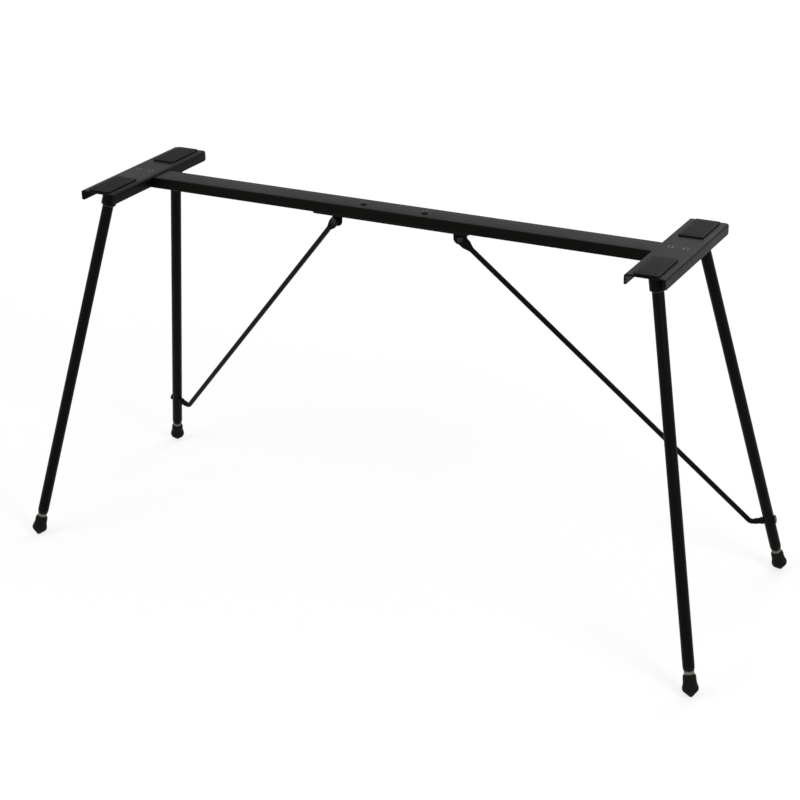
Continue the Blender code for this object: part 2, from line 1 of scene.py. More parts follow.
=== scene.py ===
"""Dressed scene of a four-legged keyboard stand.

Round steel legs, bent brace rods, levelling feet and a folded top frame are
worked out as surfaces around the packed model. Metres, +Z up, the origin on
the floor in the middle of the four feet.
"""
import json
from math import cos, pi, radians, sin, sqrt, tan

import bmesh
import bpy
import numpy as np
from mathutils import Matrix


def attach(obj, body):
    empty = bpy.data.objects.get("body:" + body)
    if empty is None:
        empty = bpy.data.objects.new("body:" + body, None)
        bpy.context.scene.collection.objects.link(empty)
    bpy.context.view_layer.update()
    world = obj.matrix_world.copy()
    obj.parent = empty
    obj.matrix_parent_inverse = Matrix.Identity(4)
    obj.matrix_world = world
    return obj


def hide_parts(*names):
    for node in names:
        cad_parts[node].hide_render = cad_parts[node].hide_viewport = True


bl_info = {
    "name": "Keyboard stand",
    "version": (1, 0, 0),
    "blender": (4, 5, 0),
    "location": "View3D > Sidebar > Stand",
    "description": "Legs, braces, levelling feet and top frame of a keyboard stand",
    "category": "Object",
}

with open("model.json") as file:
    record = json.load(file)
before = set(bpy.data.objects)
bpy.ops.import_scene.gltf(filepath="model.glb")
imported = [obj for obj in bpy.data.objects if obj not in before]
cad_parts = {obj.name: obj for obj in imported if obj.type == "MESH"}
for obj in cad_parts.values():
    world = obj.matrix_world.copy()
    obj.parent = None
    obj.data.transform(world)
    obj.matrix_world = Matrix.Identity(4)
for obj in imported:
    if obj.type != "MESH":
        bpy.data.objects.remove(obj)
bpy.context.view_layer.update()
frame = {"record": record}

LEGS = {"front_left": (-1, -1), "front_right": (1, -1), "rear_left": (-1, 1), "rear_right": (1, 1)}
SIDES = {"left": -1, "right": 1}
BODY_OF = {node: body for body, nodes in frame["record"]["behaviour"]["bodies"].items() for node in nodes}
FRAME_BODY = "frame"
THREAD_SIDES = 36
THREAD_ROWS = 8
MERGE = 2e-6
IDENTITY = np.eye(4)


# Sizes and colours a user would change


def length(name, default, text):
    """A length in metres, shown in the scene's unit."""
    return bpy.props.FloatProperty(name=name, description=text, default=default, unit="LENGTH",
                                   subtype="DISTANCE", precision=4)


def angle(name, degrees, text):
    """An angle, kept in radians."""
    return bpy.props.FloatProperty(name=name, description=text, default=radians(degrees), subtype="ANGLE")


def colour(name, default, text):
    """A linear colour without alpha."""
    return bpy.props.FloatVectorProperty(name=name, description=text, default=default, size=3, min=0.0,
                                         max=1.0, subtype="COLOR")


def share(name, default, text):
    """A number from 0 to 1."""
    return bpy.props.FloatProperty(name=name, description=text, default=default, min=0.0, max=1.0,
                                   subtype="FACTOR")


class LegSizes(bpy.types.PropertyGroup):
    """Where the legs stand and how their tubes are made."""

    seat: length("Seat height", 0.680, "Floor to the top of the pads")
    spacing_x: length("Spacing along the spine", 1.0405, "Between leg axes at the seat, left to right")
    spacing_y: length("Spacing front to rear", 0.204, "Between leg axes at the seat, front to rear")
    tilt: angle("Tilt", 16.15, "Lean of each leg from upright")
    splay: angle("Splay", 45.0, "Compass direction of the lean, from the front-rear line")
    gap: length("Gap", 0.0003, "Clearance between touching pieces")
    radius: length("Tube radius", 0.010, "Outer radius of a leg's tube")
    wall: length("Tube wall", 0.0015, "Wall of a leg's tube")
    tube_edge: length("Tube edge", 0.0003, "Rounding at the ends of the tube")
    stud_radius: length("Stud radius", 0.006, "Radius of the stud on top of a leg")
    stud_length: length("Stud length", 0.020, "Length of the stud above its collar")
    stud_collar: length("Stud collar", 0.002, "Height of the collar between socket and tube")
    stud_shank: length("Stud shank", 0.025, "Length of the stud's shank inside the tube")
    stud_pitch: length("Stud pitch", 0.00175, "Thread pitch of the stud")
    plug_collar: length("Plug collar", 0.0072, "Height of the tapered collar at the leg's lower end")
    plug_rim: length("Plug rim", 0.0026, "Height of the straight part of that collar")
    plug_rim_radius: length("Plug rim radius", 0.0098, "Radius where the taper starts")
    plug_end_radius: length("Plug end radius", 0.0090, "Radius at the lower end of the taper")
    plug_shank: length("Plug shank", 0.022, "Length of the plug inside the tube")
    socket_radius: length("Socket radius", 0.0135, "Radius of the boss under the bracket")
    socket_length: length("Socket length", 0.034, "Length of the boss")
    socket_chamfer: length("Socket chamfer", 0.0015, "Chamfer at the boss's lower edge")
    weld: length("Weld bead", 0.0021, "Radius of the weld bead between boss and bracket")


class FootSizes(bpy.types.PropertyGroup):
    """The levelling feet."""

    stem_radius: length("Stem radius", 0.005, "Outer radius of the threaded stem")
    stem_length: length("Stem length", 0.052, "Length of the stem")
    stem_buried: length("Stem in the foot", 0.020, "Length of the stem inside the rubber")
    stem_pitch: length("Stem pitch", 0.0015, "Thread pitch of the stem")
    thread_depth: length("Thread depth", 0.0007, "Depth of a thread")
    nut_flats: length("Lock nut flats", 0.016, "Width across the lock nut's flats")
    nut_height: length("Lock nut height", 0.0064, "Height of the lock nut")
    height: length("Foot height", 0.0387, "Height of the rubber along the leg")
    top_radius: length("Top radius", 0.0091, "Radius of the foot's flat top")
    neck_radius: length("Neck radius", 0.0113, "Radius under the rounded shoulder")
    shoulder: length("Shoulder", 0.0065, "Height of the rounded shoulder")
    radius: length("Widest radius", 0.0138, "Largest radius of the foot")
    widest_at: length("Widest height", 0.0150, "Height of the widest ring above the tip")
    cone_radius: length("Cone radius", 0.0121, "Radius where the 45 degree cone starts")
    nose_radius: length("Nose radius", 0.0045, "Radius of the round tip")


class BraceSizes(bpy.types.PropertyGroup):
    """The two bent rods at the rear."""

    radius: length("Rod radius", 0.0047, "Radius of a brace rod")
    joint_height: length("Joint height", 0.1055, "Height of the bolt on the rear leg's axis")
    stub: length("Stub", 0.0339, "Leg axis to the kink")
    stub_yaw: angle("Stub yaw", 13.0, "Turn of the stub from the left-right line")
    bend_radius: length("Bend radius", 0.010, "Radius of the bend")
    end_radius: length("Swage radius", 0.0054, "Radius of the swaged end")
    end_length: length("Swage length", 0.0095, "Length of the swaged end")
    end_taper: length("Swage taper", 0.0015, "Length of its taper")
    top_x: length("Top X", 0.0796, "Where the brace's line meets the seat plane")
    top_y: bpy.props.FloatProperty(name="Top Y", description="The same point, front to rear", default=-0.0090,
                                   unit="LENGTH", subtype="DISTANCE", precision=4)
    tab_width: length("Tab width", 0.018, "Width of the flattened end")
    tab_thickness: length("Tab thickness", 0.004, "Thickness of the flattened end")
    tab_length: length("Tab length", 0.030, "From the pivot to the start of the flattening")
    pivot_drop: length("Pivot drop", 0.048, "Seat plane to the pivot")
    spacer_radius: length("Spacer radius", 0.0065, "Radius of the ring between leg and brace")
    spacer_length: length("Spacer length", 0.0055, "Length of that ring")
    bolt_radius: length("Bolt head radius", 0.0080, "Radius of the brace bolt's head")
    bolt_height: length("Bolt head height", 0.0026, "Height of the brace bolt's head")
    bolt_engagement: length("Bolt engagement", 0.010, "Length of the bolt inside the brace")
    bolt_key: length("Bolt key", 0.005, "Key size of the bolt's hexagonal recess")


class TopSizes(bpy.types.PropertyGroup):
    """Side brackets, spine and the plate under it."""

    pad_thickness: length("Pad thickness", 0.003, "Thickness of a rubber pad, ribs included")
    pad_width: length("Pad width", 0.044, "Width of a pad")
    pad_length: length("Pad length", 0.090, "Length of a pad")
    pad_rib: length("Pad rib", 0.0007, "Height of the ribs")
    plate: length("Plate thickness", 0.003, "Thickness of the folded brackets")
    bracket_width: length("Bracket width", 0.070, "Width of a side bracket")
    bracket_end: length("Bracket end", 0.049, "Leg axis to the bracket's end")
    bracket_depth: length("Flange depth", 0.016, "Depth of the flanges under the plate")
    bracket_bend: length("Flange bend", 0.0050, "Outer radius of the folds")
    spine_width: length("Spine width", 0.050, "Width of the flat tube")
    spine_height: length("Spine height", 0.020, "Height of the flat tube")
    spine_wall: length("Spine wall", 0.002, "Wall of the flat tube")
    spine_overlap: length("Spine overlap", 0.024, "How far the spine passes the leg axes' line")
    spine_corner: length("Spine corner", 0.0022, "Rounding of the flat tube's corners")
    screw_pitch: length("Screw pitch", 0.026, "Between the two screws at one end of the spine")
    screw_radius: length("Screw radius", 0.003, "Radius of the screws")
    sink_radius: length("Countersunk radius", 0.0058, "Radius of the countersunk heads")
    head_radius: length("Head radius", 0.0055, "Radius of the round heads")
    head_height: length("Head height", 0.0033, "Height of the round heads")
    low_head: length("Low head height", 0.0025, "Height of the heads inside the brackets' gap")
    screw_tail: length("Screw tail", 0.002, "Length of a screw past its nut")
    nut_flats: length("Nut flats", 0.010, "Width across the nuts' flats")
    nut_height: length("Nut height", 0.005, "Height of the nuts")
    base_thickness: length("Base thickness", 0.003, "Thickness of the brace bracket's plate")
    base_width: length("Base width", 0.044, "Width of the brace bracket's plate")
    base_margin: length("Base margin", 0.030, "From a brace's pivot to the plate's end")
    base_screw_x: length("Base screw", 0.060, "Middle of the spine to the brace bracket's screws")
    ear_thickness: length("Ear thickness", 0.004, "Thickness of the ears")
    ear_radius: length("Ear radius", 0.012, "Radius of the ears' round ends")
    ear_weld: length("Ear weld", 0.0016, "Radius of the weld beads at the ears")


class Finishes(bpy.types.PropertyGroup):
    """Colours of the finishes, linear."""

    coat: colour("Black coat", (0.0018, 0.0017, 0.0010), "Satin black coat on steel")
    plastic: colour("Black plastic", (0.0024, 0.0023, 0.0017), "Moulded plugs and spacers")
    rubber: colour("Foot rubber", (0.0032, 0.0031, 0.0026), "Feet")
    pad: colour("Pad rubber", (0.0125, 0.0122, 0.0112), "Ribbed pads")
    dust: colour("Dust", (0.0900, 0.0850, 0.0760), "Dust in the grain of the rubber")
    zinc: colour("Zinc", (0.1500, 0.1460, 0.1180), "Lock nuts and stems")
    black_zinc: colour("Black zinc", (0.0200, 0.0195, 0.0180), "Screws, nuts and bolts")
    wear: share("Wear", 0.35, "How much the finishes are rubbed")


class StudioSizes(bpy.types.PropertyGroup):
    """Camera, lamps and floor."""

    lens: bpy.props.FloatProperty(name="Lens", description="Focal length on a 36 mm sensor, in millimetres",
                                  default=87.165)
    place: bpy.props.FloatVectorProperty(name="Camera", description="Where the camera stands", size=3,
                                         default=(1.509537, -2.836918, 1.72228), subtype="XYZ", unit="LENGTH")
    yaw: angle("Yaw", 27.942, "Turn of the camera about +Z")
    pitch: angle("Pitch", 23.740, "Fall of the view below level")
    roll: angle("Roll", -1.064, "Turn of the picture")
    floor: length("Floor", 40.0, "Width of the floor")
    white: share("Floor glow", 0.692, "Share of the floor's white near the stand that the light doesn't change")
    shade: share("Floor shade", 0.32, "How much of it the light and the stand's shade change")
    lit_most: share("Lamp light", 0.425, "What the lamps add to a white floor where they light it most")
    lit_at: bpy.props.FloatVectorProperty(name="Lit most at", description="Where the lamps light the floor most",
                                          size=3, default=(0.75, -0.60, 0.0), subtype="XYZ", unit="LENGTH")
    near: length("Near reach", 0.45, "How far from there the lamps' light starts to fade")
    far: length("Far reach", 7.0, "How far from there it has faded out")
    world: share("World light", 0.55, "Strength of the surroundings' light")


GROUPS = {"leg": LegSizes, "foot": FootSizes, "brace": BraceSizes, "top": TopSizes, "finish": Finishes,
          "studio": StudioSizes}


class StandSettings(bpy.types.PropertyGroup):
    """All sizes and colours of the stand."""

    leg: bpy.props.PointerProperty(type=LegSizes)
    foot: bpy.props.PointerProperty(type=FootSizes)
    brace: bpy.props.PointerProperty(type=BraceSizes)
    top: bpy.props.PointerProperty(type=TopSizes)
    finish: bpy.props.PointerProperty(type=Finishes)
    studio: bpy.props.PointerProperty(type=StudioSizes)


# Places


def unit(vector):
    """The vector divided by its length."""
    return np.asarray(vector, float) / np.linalg.norm(vector)


def place_at(origin, up, side=(1.0, 0.0, 0.0)):
    """A 4x4 matrix: local Z along up, local X as near side as it can be."""
    axis_z = unit(up)
    axis_y = unit(np.cross(axis_z, side))
    made = np.eye(4)
    made[:3, :3] = np.stack((np.cross(axis_y, axis_z), axis_y, axis_z), axis=1)
    made[:3, 3] = origin
    return made


def shifted(place, height):
    """The same frame, moved along its own Z."""
    made = place.copy()
    made[:3, 3] += place[:3, 2] * height
    return made


def moved(points, place):
    """Points (..., 3) carried from a local frame to the stand's frame."""
    return points @ place[:3, :3].T + place[:3, 3]


def leg_down(leg, signs):
    """Unit vector down a leg: the tilt leans it out along the splay."""
    lean = sin(leg.tilt)
    return np.array((signs[0] * lean * sin(leg.splay), signs[1] * lean * cos(leg.splay), -cos(leg.tilt)))


def leg_top(leg, signs):
    """Where a leg's axis meets the seat plane."""
    return np.array((signs[0] * leg.spacing_x / 2, signs[1] * leg.spacing_y / 2, leg.seat))


def leg_place(leg, signs):
    """The leg's frame: origin on the seat plane, local Z up the leg."""
    return place_at(leg_top(leg, signs), -leg_down(leg, signs))


class Along:
    """Heights down a leg's axis, from the seat plane, and levels of the top frame."""

    def __init__(self, stand):
        leg, foot, top = stand.leg, stand.foot, stand.top
        gap = leg.gap
        self.plate_top = leg.seat - top.pad_thickness - gap
        self.plate_under = self.plate_top - top.plate
        self.spine_top = self.plate_under - gap
        self.spine_under = self.spine_top - top.spine_height
        self.base_top = self.spine_under - gap
        self.base_under = self.base_top - top.base_thickness
        self.tip = (leg.seat - foot.nose_radius) / cos(leg.tilt) + foot.nose_radius
        self.socket_end = leg.socket_length + (leg.seat - self.spine_top) / cos(leg.tilt)
        self.foot_top = self.tip - foot.height
        self.nut = self.foot_top - gap
        self.plug_end = self.nut - foot.nut_height - gap
        self.tube_end = self.plug_end - leg.plug_collar - gap
        self.tube_start = self.socket_end + gap + leg.stud_collar + gap


class BraceLine:
    """Joint, kink, pivot and directions of one brace."""

    def __init__(self, stand, sign):
        leg, size = stand.leg, stand.brace
        down = leg_down(leg, (sign, 1))
        self.joint = leg_top(leg, (sign, 1)) + down * (leg.seat - size.joint_height) / cos(leg.tilt)
        level = np.array((sign * cos(size.stub_yaw), sin(size.stub_yaw), 0.0))
        self.outward = unit(level - down * level.dot(down))
        self.kink = self.joint - self.outward * size.stub
        top = np.array((sign * size.top_x, size.top_y, leg.seat))
        self.upward = unit(top - self.kink)
        self.pivot = top - self.upward * size.pivot_drop / self.upward[2]
        across = unit((self.upward[1], -self.upward[0], 0.0))
        self.across = across if across[1] > 0 else -across
        self.end = self.joint - self.outward * (leg.radius + 2 * leg.gap + size.spacer_length)


# Surfaces


def eased(corners, steps=6):
    """Corner rows (radius, height, rounding, ...) turned into a smooth row list.

    Each corner C with rounding d becomes the curve (1-t)^2 A + 2t(1-t) C + t^2 B,
    where A and B lie d before and after C on its two edges.
    """
    rows = np.array([tuple(row) + (0.0,) * (5 - len(row)) for row in corners], float)
    spots, rounding = rows[:, :2], rows[:, 2]
    before = np.vstack((spots[:1], spots[:-1])) - spots
    after = np.vstack((spots[1:], spots[-1:])) - spots
    reach_before = np.linalg.norm(before, axis=1)
    reach_after = np.linalg.norm(after, axis=1)
    limit = np.minimum(np.minimum(reach_before, reach_after) / 2, rounding)
    start = spots + before * (limit / np.maximum(reach_before, 1e-12))[:, None]
    finish = spots + after * (limit / np.maximum(reach_after, 1e-12))[:, None]
    t = np.linspace(0.0, 1.0, steps)[None, :, None]
    curve = (1 - t) ** 2 * start[:, None] + 2 * t * (1 - t) * spots[:, None] + t ** 2 * finish[:, None]
    rest = np.repeat(rows[:, None, 3:], steps, axis=1)
    return np.concatenate((curve, rest), axis=2).reshape(-1, 4)


def turned_rings(rows, sides):
    """Rings of a turned or hexagonal body about local Z, shape (row, side, 3).

    A row is (radius, height, hexness, slope). The ring's radius is
    radius * (1 - h + h * cos 30 / cos(a mod 60 - 30)), where the hexagon's
    corners are eased a little, and its height falls by slope times what the
    radius exceeds the hexagon's flats.
    """
    rows = np.asarray(rows, float)
    turn = np.arange(sides) * 2 * pi / sides
    sector = np.mod(turn, pi / 3) - pi / 6
    hexagon = cos(pi / 6) / np.cos(sector)
    radius, height, hexness, slope = (rows[:, i, None] for i in range(4))
    reach = radius * (1 - hexness + hexness * np.minimum(hexagon, 0.992))
    rise = height - slope * (reach - radius * cos(pi / 6))
    return np.stack((reach * np.cos(turn), reach * np.sin(turn), rise), axis=2)


def thread_rings(radius, depth, pitch, start, end, sides=THREAD_SIDES):
    """Rings of a V thread: radius less depth times a triangle wave of height / pitch - turn."""
    count = max(2, int(abs(end - start) / pitch * THREAD_ROWS))
    height = np.linspace(start, end, count)[:, None]
    turn = np.arange(sides)[None] * 2 * pi / sides
    wave = np.abs(2 * np.mod(height / pitch - turn / (2 * pi), 1.0) - 1)
    fade = np.clip(np.minimum(np.abs(height - start), np.abs(end - height)) / pitch, 0, 1)
    reach = radius - depth * np.clip(1.25 * wave - 0.12, 0, 1) * fade
    return np.stack((reach * np.cos(turn), reach * np.sin(turn), height + 0 * turn), axis=2)


def round_sections(half_x, half_y, corner, count):
    """Rounded rectangles, shape (row, 4 * count, 2): corner centres plus corner * (cos a, sin a)."""
    half_x, half_y, corner = (np.atleast_1d(np.asarray(v, float))[:, None] for v in (half_x, half_y, corner))
    quarter = np.repeat(np.arange(4), count)
    turn = quarter * pi / 2 + np.tile(np.linspace(0, pi / 2, count), 4)
    side_x = np.where((quarter == 0) | (quarter == 3), 1.0, -1.0)
    side_y = np.where(quarter < 2, 1.0, -1.0)
    return np.stack((side_x * (half_x - corner) + corner * np.cos(turn),
                     side_y * (half_y - corner) + corner * np.sin(turn)), axis=2)


def grid_faces(points, wrap_rows):
    """Quads and their uv of rings: u runs round in metres, v along the rows in metres."""
    rows, columns = points.shape[:2]
    bands = rows if wrap_rows else rows - 1
    row, column = np.meshgrid(np.arange(bands), np.arange(columns), indexing="ij")
    row, column = row.ravel(), column.ravel()
    upper, right = (row + 1) % rows, (column + 1) % columns
    quads = np.stack((row * columns + column, row * columns + right, upper * columns + right,
                      upper * columns + column), axis=1)
    step = np.linalg.norm(np.roll(points, -1, axis=0) - points, axis=2).mean(axis=1)
    v = np.concatenate(([0.0], np.cumsum(step)))
    around = np.linalg.norm(np.roll(points, -1, axis=1) - points, axis=2).sum(axis=1).max() / columns
    u_pair = np.stack((column, column + 1, column + 1, column), axis=1) * around
    v_pair = np.stack((v[row], v[row], v[row + 1], v[row + 1]), axis=1)
    return quads, np.stack((u_pair, v_pair), axis=2)


def surface_mesh(name, grids):
    """One mesh from grids of rings, each (points, wrap_rows), poles and seams merged, faces outwards."""
    points, quads, uvs, offset = [], [], [], 0
    for grid, wrap_rows in grids:
        faces, uv = grid_faces(grid, wrap_rows)
        points.append(grid.reshape(-1, 3))
        quads.append(faces + offset)
        uvs.append(uv.reshape(-1, 2))
        offset += len(points[-1])
    points, quads, uvs = np.concatenate(points), np.concatenate(quads), np.concatenate(uvs)
    mesh = bpy.data.meshes.new(name)
    mesh.vertices.add(len(points))
    mesh.vertices.foreach_set("co", points.astype(np.float32).ravel())
    mesh.loops.add(quads.size)
    mesh.loops.foreach_set("vertex_index", quads.astype(np.int32).ravel())
    mesh.polygons.add(len(quads))
    mesh.polygons.foreach_set("loop_start", np.arange(len(quads), dtype=np.int32) * 4)
    mesh.update(calc_edges=True)
    mesh.uv_layers.new(name="surface").data.foreach_set("uv", uvs.astype(np.float32).ravel())
    work = bmesh.new()
    work.from_mesh(mesh)
    bmesh.ops.remove_doubles(work, verts=work.verts, dist=MERGE)
    bmesh.ops.recalc_face_normals(work, faces=work.faces)
    work.to_mesh(mesh)
    work.free()
    mesh.shade_smooth()
    mesh.set_sharp_from_angle(angle=radians(38.0))
    return mesh


def piece(name, grids, finish, node):
    """A finished piece that stands for a CAD node and rides on its body."""
    item = bpy.data.objects.new(name, surface_mesh(name, grids))
    bpy.context.scene.collection.objects.link(item)
    return dress(item, finish, node)


def dress(item, finish, node):
    """Give a piece its finish and body, and hide the CAD part of its node."""
    item.data.materials.clear()
    item.data.materials.append(finish)
    body = BODY_OF.get(node, FRAME_BODY)
    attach(item, body)
    if node in BODY_OF:
        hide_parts(node)
    return item


def turned(place, corners, sides=72, closed=False, steps=6):
    """A body turned about the frame's Z from eased corners, as one grid."""
    rings = turned_rings(eased(corners, steps), sides)
    return moved(rings, place), closed


def cut_away(item, grids):
    """Cut closed surfaces, each (points, wrap_rows), out of a piece."""
    cutter = bpy.data.objects.new("cutter", surface_mesh("cutter", grids))
    bpy.context.scene.collection.objects.link(cutter)
    hole = item.modifiers.new("hole", "BOOLEAN")
    hole.operation = "DIFFERENCE"
    hole.solver = "EXACT"
    hole.object = cutter
    bpy.context.view_layer.update()
    graph = bpy.context.evaluated_depsgraph_get()
    made = bpy.data.meshes.new_from_object(item.evaluated_get(graph))
    item.modifiers.clear()
    made.name = item.data.name
    item.data = made
    made.set_sharp_from_angle(angle=radians(38.0))
    bpy.data.objects.remove(cutter, do_unlink=True)
    return item


def drilled(item, place, radius, start, end, sides=48):
    """Cut a round hole along the frame's Z through a piece."""
    rows = [(0.0, start, 0.0), (radius, start, 0.0), (radius, end, 0.0), (0.0, end, 0.0)]
    return cut_away(item, [turned(place, rows, sides, steps=1)])


def bar_rings(half_y, half_z, corner, start, end):
    """A bar along X with a rounded rectangle as its section, closed at both ends."""
    sections = round_sections([half_y] * 2, [half_z] * 2, corner, 6)
    x = np.broadcast_to(np.array((start, end))[:, None, None], sections.shape[:2] + (1,))
    rings = np.concatenate((x, sections), axis=2)
    return np.concatenate((rings[:1].mean(axis=1, keepdims=True) + 0 * rings[:1], rings,
                           rings[-1:].mean(axis=1, keepdims=True) + 0 * rings[-1:]))


def rounded_outline(half_x, half_y, corner):
    """A rounded rectangle's points and outward normals, both (n, 2)."""
    outline = round_sections([half_x], [half_y], corner, 8)[0]
    centres = round_sections([half_x], [half_y], 1e-9, 8)[0]
    centres = centres - np.sign(centres) * corner
    return outline, (outline - centres) / corner


def tongue_outline(radius, length):
    """A tongue's points and normals: a half circle about the origin, then straight sides along +X."""
    turn = np.linspace(pi / 2, 3 * pi / 2, 25)
    arc = np.stack((np.cos(turn), np.sin(turn)), axis=1)
    side = np.linspace(0.0, length, 5)[1:]
    low = np.stack((side, np.full(len(side), -radius)), axis=1)
    far = np.stack((np.full(5, length), np.linspace(-radius, radius, 7)[1:-1]), axis=1)
    points = np.concatenate((arc * radius, low, far, low[::-1] * (1, -1)))
    down, ahead = np.array((0.0, -1.0)), np.array((1.0, 0.0))
    normals = np.concatenate((arc, np.tile(down, (4, 1)), np.tile(ahead, (5, 1)), np.tile(-down, (4, 1))))
    return points, normals


def slab_rings(outline, normals, thick, edge, hole=None):
    """A flat plate from -thick to 0 with rounded edges: point - normal * inset for each row.

    Its faces run to the middle, or to a round hole about the origin, whose points lie in
    the outline's directions.
    """
    turn = np.linspace(0, pi / 2, 5)
    inset = np.concatenate((edge * (1 - np.sin(turn)), edge * (1 - np.cos(turn))))
    level = np.concatenate((-thick + edge * (1 - np.cos(turn)), -edge + edge * np.sin(turn)))
    rings = outline[None] - normals[None] * inset[:, None, None]
    rings = np.concatenate((rings, np.broadcast_to(level[:, None, None], rings.shape[:2] + (1,))), axis=2)
    if hole:
        circle = outline / np.linalg.norm(outline, axis=1)[:, None] * hole
    else:
        circle = np.zeros_like(outline)
    inner = [np.concatenate((circle, np.full((len(circle), 1), z)), axis=1)[None] for z in (-thick, 0.0)]
    return np.concatenate((inner[0], rings, inner[1]))


def weld_rings(middle, half_run, radius):
    """A straight rippled bead about middle +- half_run, its radius swelling at each ripple."""
    t = np.linspace(-1, 1, 60)
    run = np.linalg.norm(half_run)
    swell = radius * (0.86 + 0.14 * np.abs(np.sin(t * run / 0.0022 * pi)))
    swell = swell * np.sqrt(np.clip(1 - t ** 10, 0, 1))
    ahead = half_run / run
    beside = np.cross(ahead, (0.0, 0.0, 1.0))
    turn = np.arange(16) * 2 * pi / 16
    around = beside * np.cos(turn)[:, None] + np.array((0.0, 0.0, 0.8)) * np.sin(turn)[:, None]
    return middle + half_run * t[:, None, None] + around[None] * swell[:, None, None]


def nut_corners(flats, height, bore):
    """Rows of a chamfered hexagonal nut standing on its frame's origin."""
    corner = flats / 2 / cos(pi / 6)
    slope = tan(radians(30.0))
    face = flats * 0.475
    drop = (flats / 2 - face) * slope
    return [(bore, 0.0006), (bore + 0.0006, 0.0, 0.0001), (face, 0.0, 0.0001),
            (corner, drop, 0.0, 1.0, -slope), (corner, height - drop, 0.0, 1.0, slope),
            (face, height, 0.0001), (bore + 0.0006, height, 0.0001), (bore, height - 0.0006)]


def nut_grid(place, flats, height, bore):
    """A nut as one closed grid."""
    return turned(place, nut_corners(flats, height, bore), sides=72, closed=True, steps=3)


def button_corners(head_radius, head_height, shank, length_below, key, key_depth):
    """Rows of a round-headed screw with a hexagonal recess, head above the frame's origin."""
    recess = key / 2 / cos(pi / 6)
    return [(0.0, head_height - key_depth), (recess, head_height - key_depth, 0.0, 1.0),
            (recess, head_height - 0.0002, 0.0, 1.0), (recess + 0.0004, head_height, 0.0001),
            (head_radius * 0.74, head_height, 0.0008), (head_radius * 0.95, head_height * 0.72, 0.0010),
            (head_radius, head_height * 0.25, 0.0006), (head_radius * 0.985, 0.0, 0.0002),
            (shank, 0.0, 0.0001), (shank, -length_below + 0.0006), (shank - 0.0006, -length_below),
            (0.0, -length_below)]


# Finishes


class Value:
    """A socket's value in a shader, with ordinary arithmetic."""

    def __init__(self, tree, socket):
        self.tree = tree
        self.socket = socket

    def _math(self, operation, first, second=None):
        inputs = {0: first} if second is None else {0: first, 1: second}
        return self.tree.node("ShaderNodeMath", {"operation": operation}, inputs)

    def __add__(self, other):
        return self._math("ADD", self, other)

    def __radd__(self, other):
        return self._math("ADD", other, self)

    def __sub__(self, other):
        return self._math("SUBTRACT", self, other)

    def __rsub__(self, other):
        return self._math("SUBTRACT", other, self)

    def __mul__(self, other):
        return self._math("MULTIPLY", self, other)

    def __rmul__(self, other):
        return self._math("MULTIPLY", other, self)

    def larger(self, other):
        """The larger of two numbers."""
        return self._math("MAXIMUM", self, other)

    def band(self, low, high):
        """0 below low, 1 above high, smooth between."""
        return self.tree.node("ShaderNodeMapRange", {"interpolation_type": "SMOOTHSTEP"},
                              {0: self, 1: low, 2: high, 3: 0.0, 4: 1.0})


class Look:
    """The node tree of a material or world, written as expressions."""

    def __init__(self, owner):
        owner.use_nodes = True
        self.owner = owner
        self.nodes = owner.node_tree.nodes
        self.links = owner.node_tree.links

    def node(self, kind, settings, inputs, output=0):
        """A node: its settings first, then the value or link of each socket."""
        made = self.nodes.new(kind)
        for key, value in settings.items():
            setattr(made, key, value)
        for key, value in inputs.items():
            self.feed(made.inputs[key], value)
        return Value(self, made.outputs[output])

    def feed(self, socket, value):
        """Link a value to a socket, or write a number or colour on it."""
        if isinstance(value, Value):
            self.links.new(value.socket, socket)
        else:
            socket.default_value = value

    def seen(self):
        """1 for what is seen straight, in a reflection or through glass, else 0."""
        rays = [self.node("ShaderNodeLightPath", {}, {}, name)
                for name in ("Is Camera Ray", "Is Glossy Ray", "Is Transmission Ray")]
        return rays[0].larger(rays[1]).larger(rays[2])

    def surface(self, shader):
        """Make a shader the tree's surface, in place of the one it came with."""
        end = next(node for node in self.nodes if node.type.startswith("OUTPUT"))
        self.nodes.remove(end.inputs["Surface"].links[0].from_node)
        self.feed(end.inputs["Surface"], shader)


class Finish(Look):
    """A material of the stand: a Principled shader fed by expressions."""

    def __init__(self, name):
        super().__init__(bpy.data.materials.new(name))
        self.material = self.owner
        self.shader = self.nodes["Principled BSDF"]
        self.place = self.node("ShaderNodeTexCoord", {}, {}, "Object")
        self.along = self.node("ShaderNodeTexCoord", {}, {}, "UV")

    def noise(self, scale, detail=3.0, roughness=0.5, source=None, stretch=None):
        """Noise from 0 to 1 at a scale per metre, stretched by a vector if given."""
        source = source or self.place
        if stretch:
            source = self.node("ShaderNodeMapping", {}, {"Vector": source, "Scale": stretch})
        return self.node("ShaderNodeTexNoise", {}, {"Vector": source, "Scale": scale, "Detail": detail,
                                                    "Roughness": roughness})

    def height(self):
        """Height above the floor."""
        return self.node("ShaderNodeSeparateXYZ", {}, {0: self.place}, 2)

    def mix(self, factor, first, second):
        """Colour first where factor is 0, second where it is 1."""
        return self.node("ShaderNodeMix", {"data_type": "RGBA"},
                         {0: factor, 6: as_colour(first), 7: as_colour(second)}, 2)

    def bump(self, height, strength, distance, below=None):
        """A bump normal, on top of another where given."""
        inputs = {"Height": height, "Strength": strength, "Distance": distance}
        if below is not None:
            inputs["Normal"] = below
        return self.node("ShaderNodeBump", {}, inputs)

    def set(self, **values):
        """Feed the shader's sockets, named with underscores."""
        for key, value in values.items():
            self.feed(self.shader.inputs[key.replace("_", " ")], value)
        return self.material


def as_colour(value):
    """RGBA from RGB, or the link as it is."""
    return value if isinstance(value, Value) else (*tuple(value)[:3], 1.0)


def grey(level):
    """RGBA of a grey."""
    return level, level, level, 1.0


def scaled(tone, factor):
    """A colour times a number."""
    return tuple(min(1.0, channel * factor) for channel in tone)


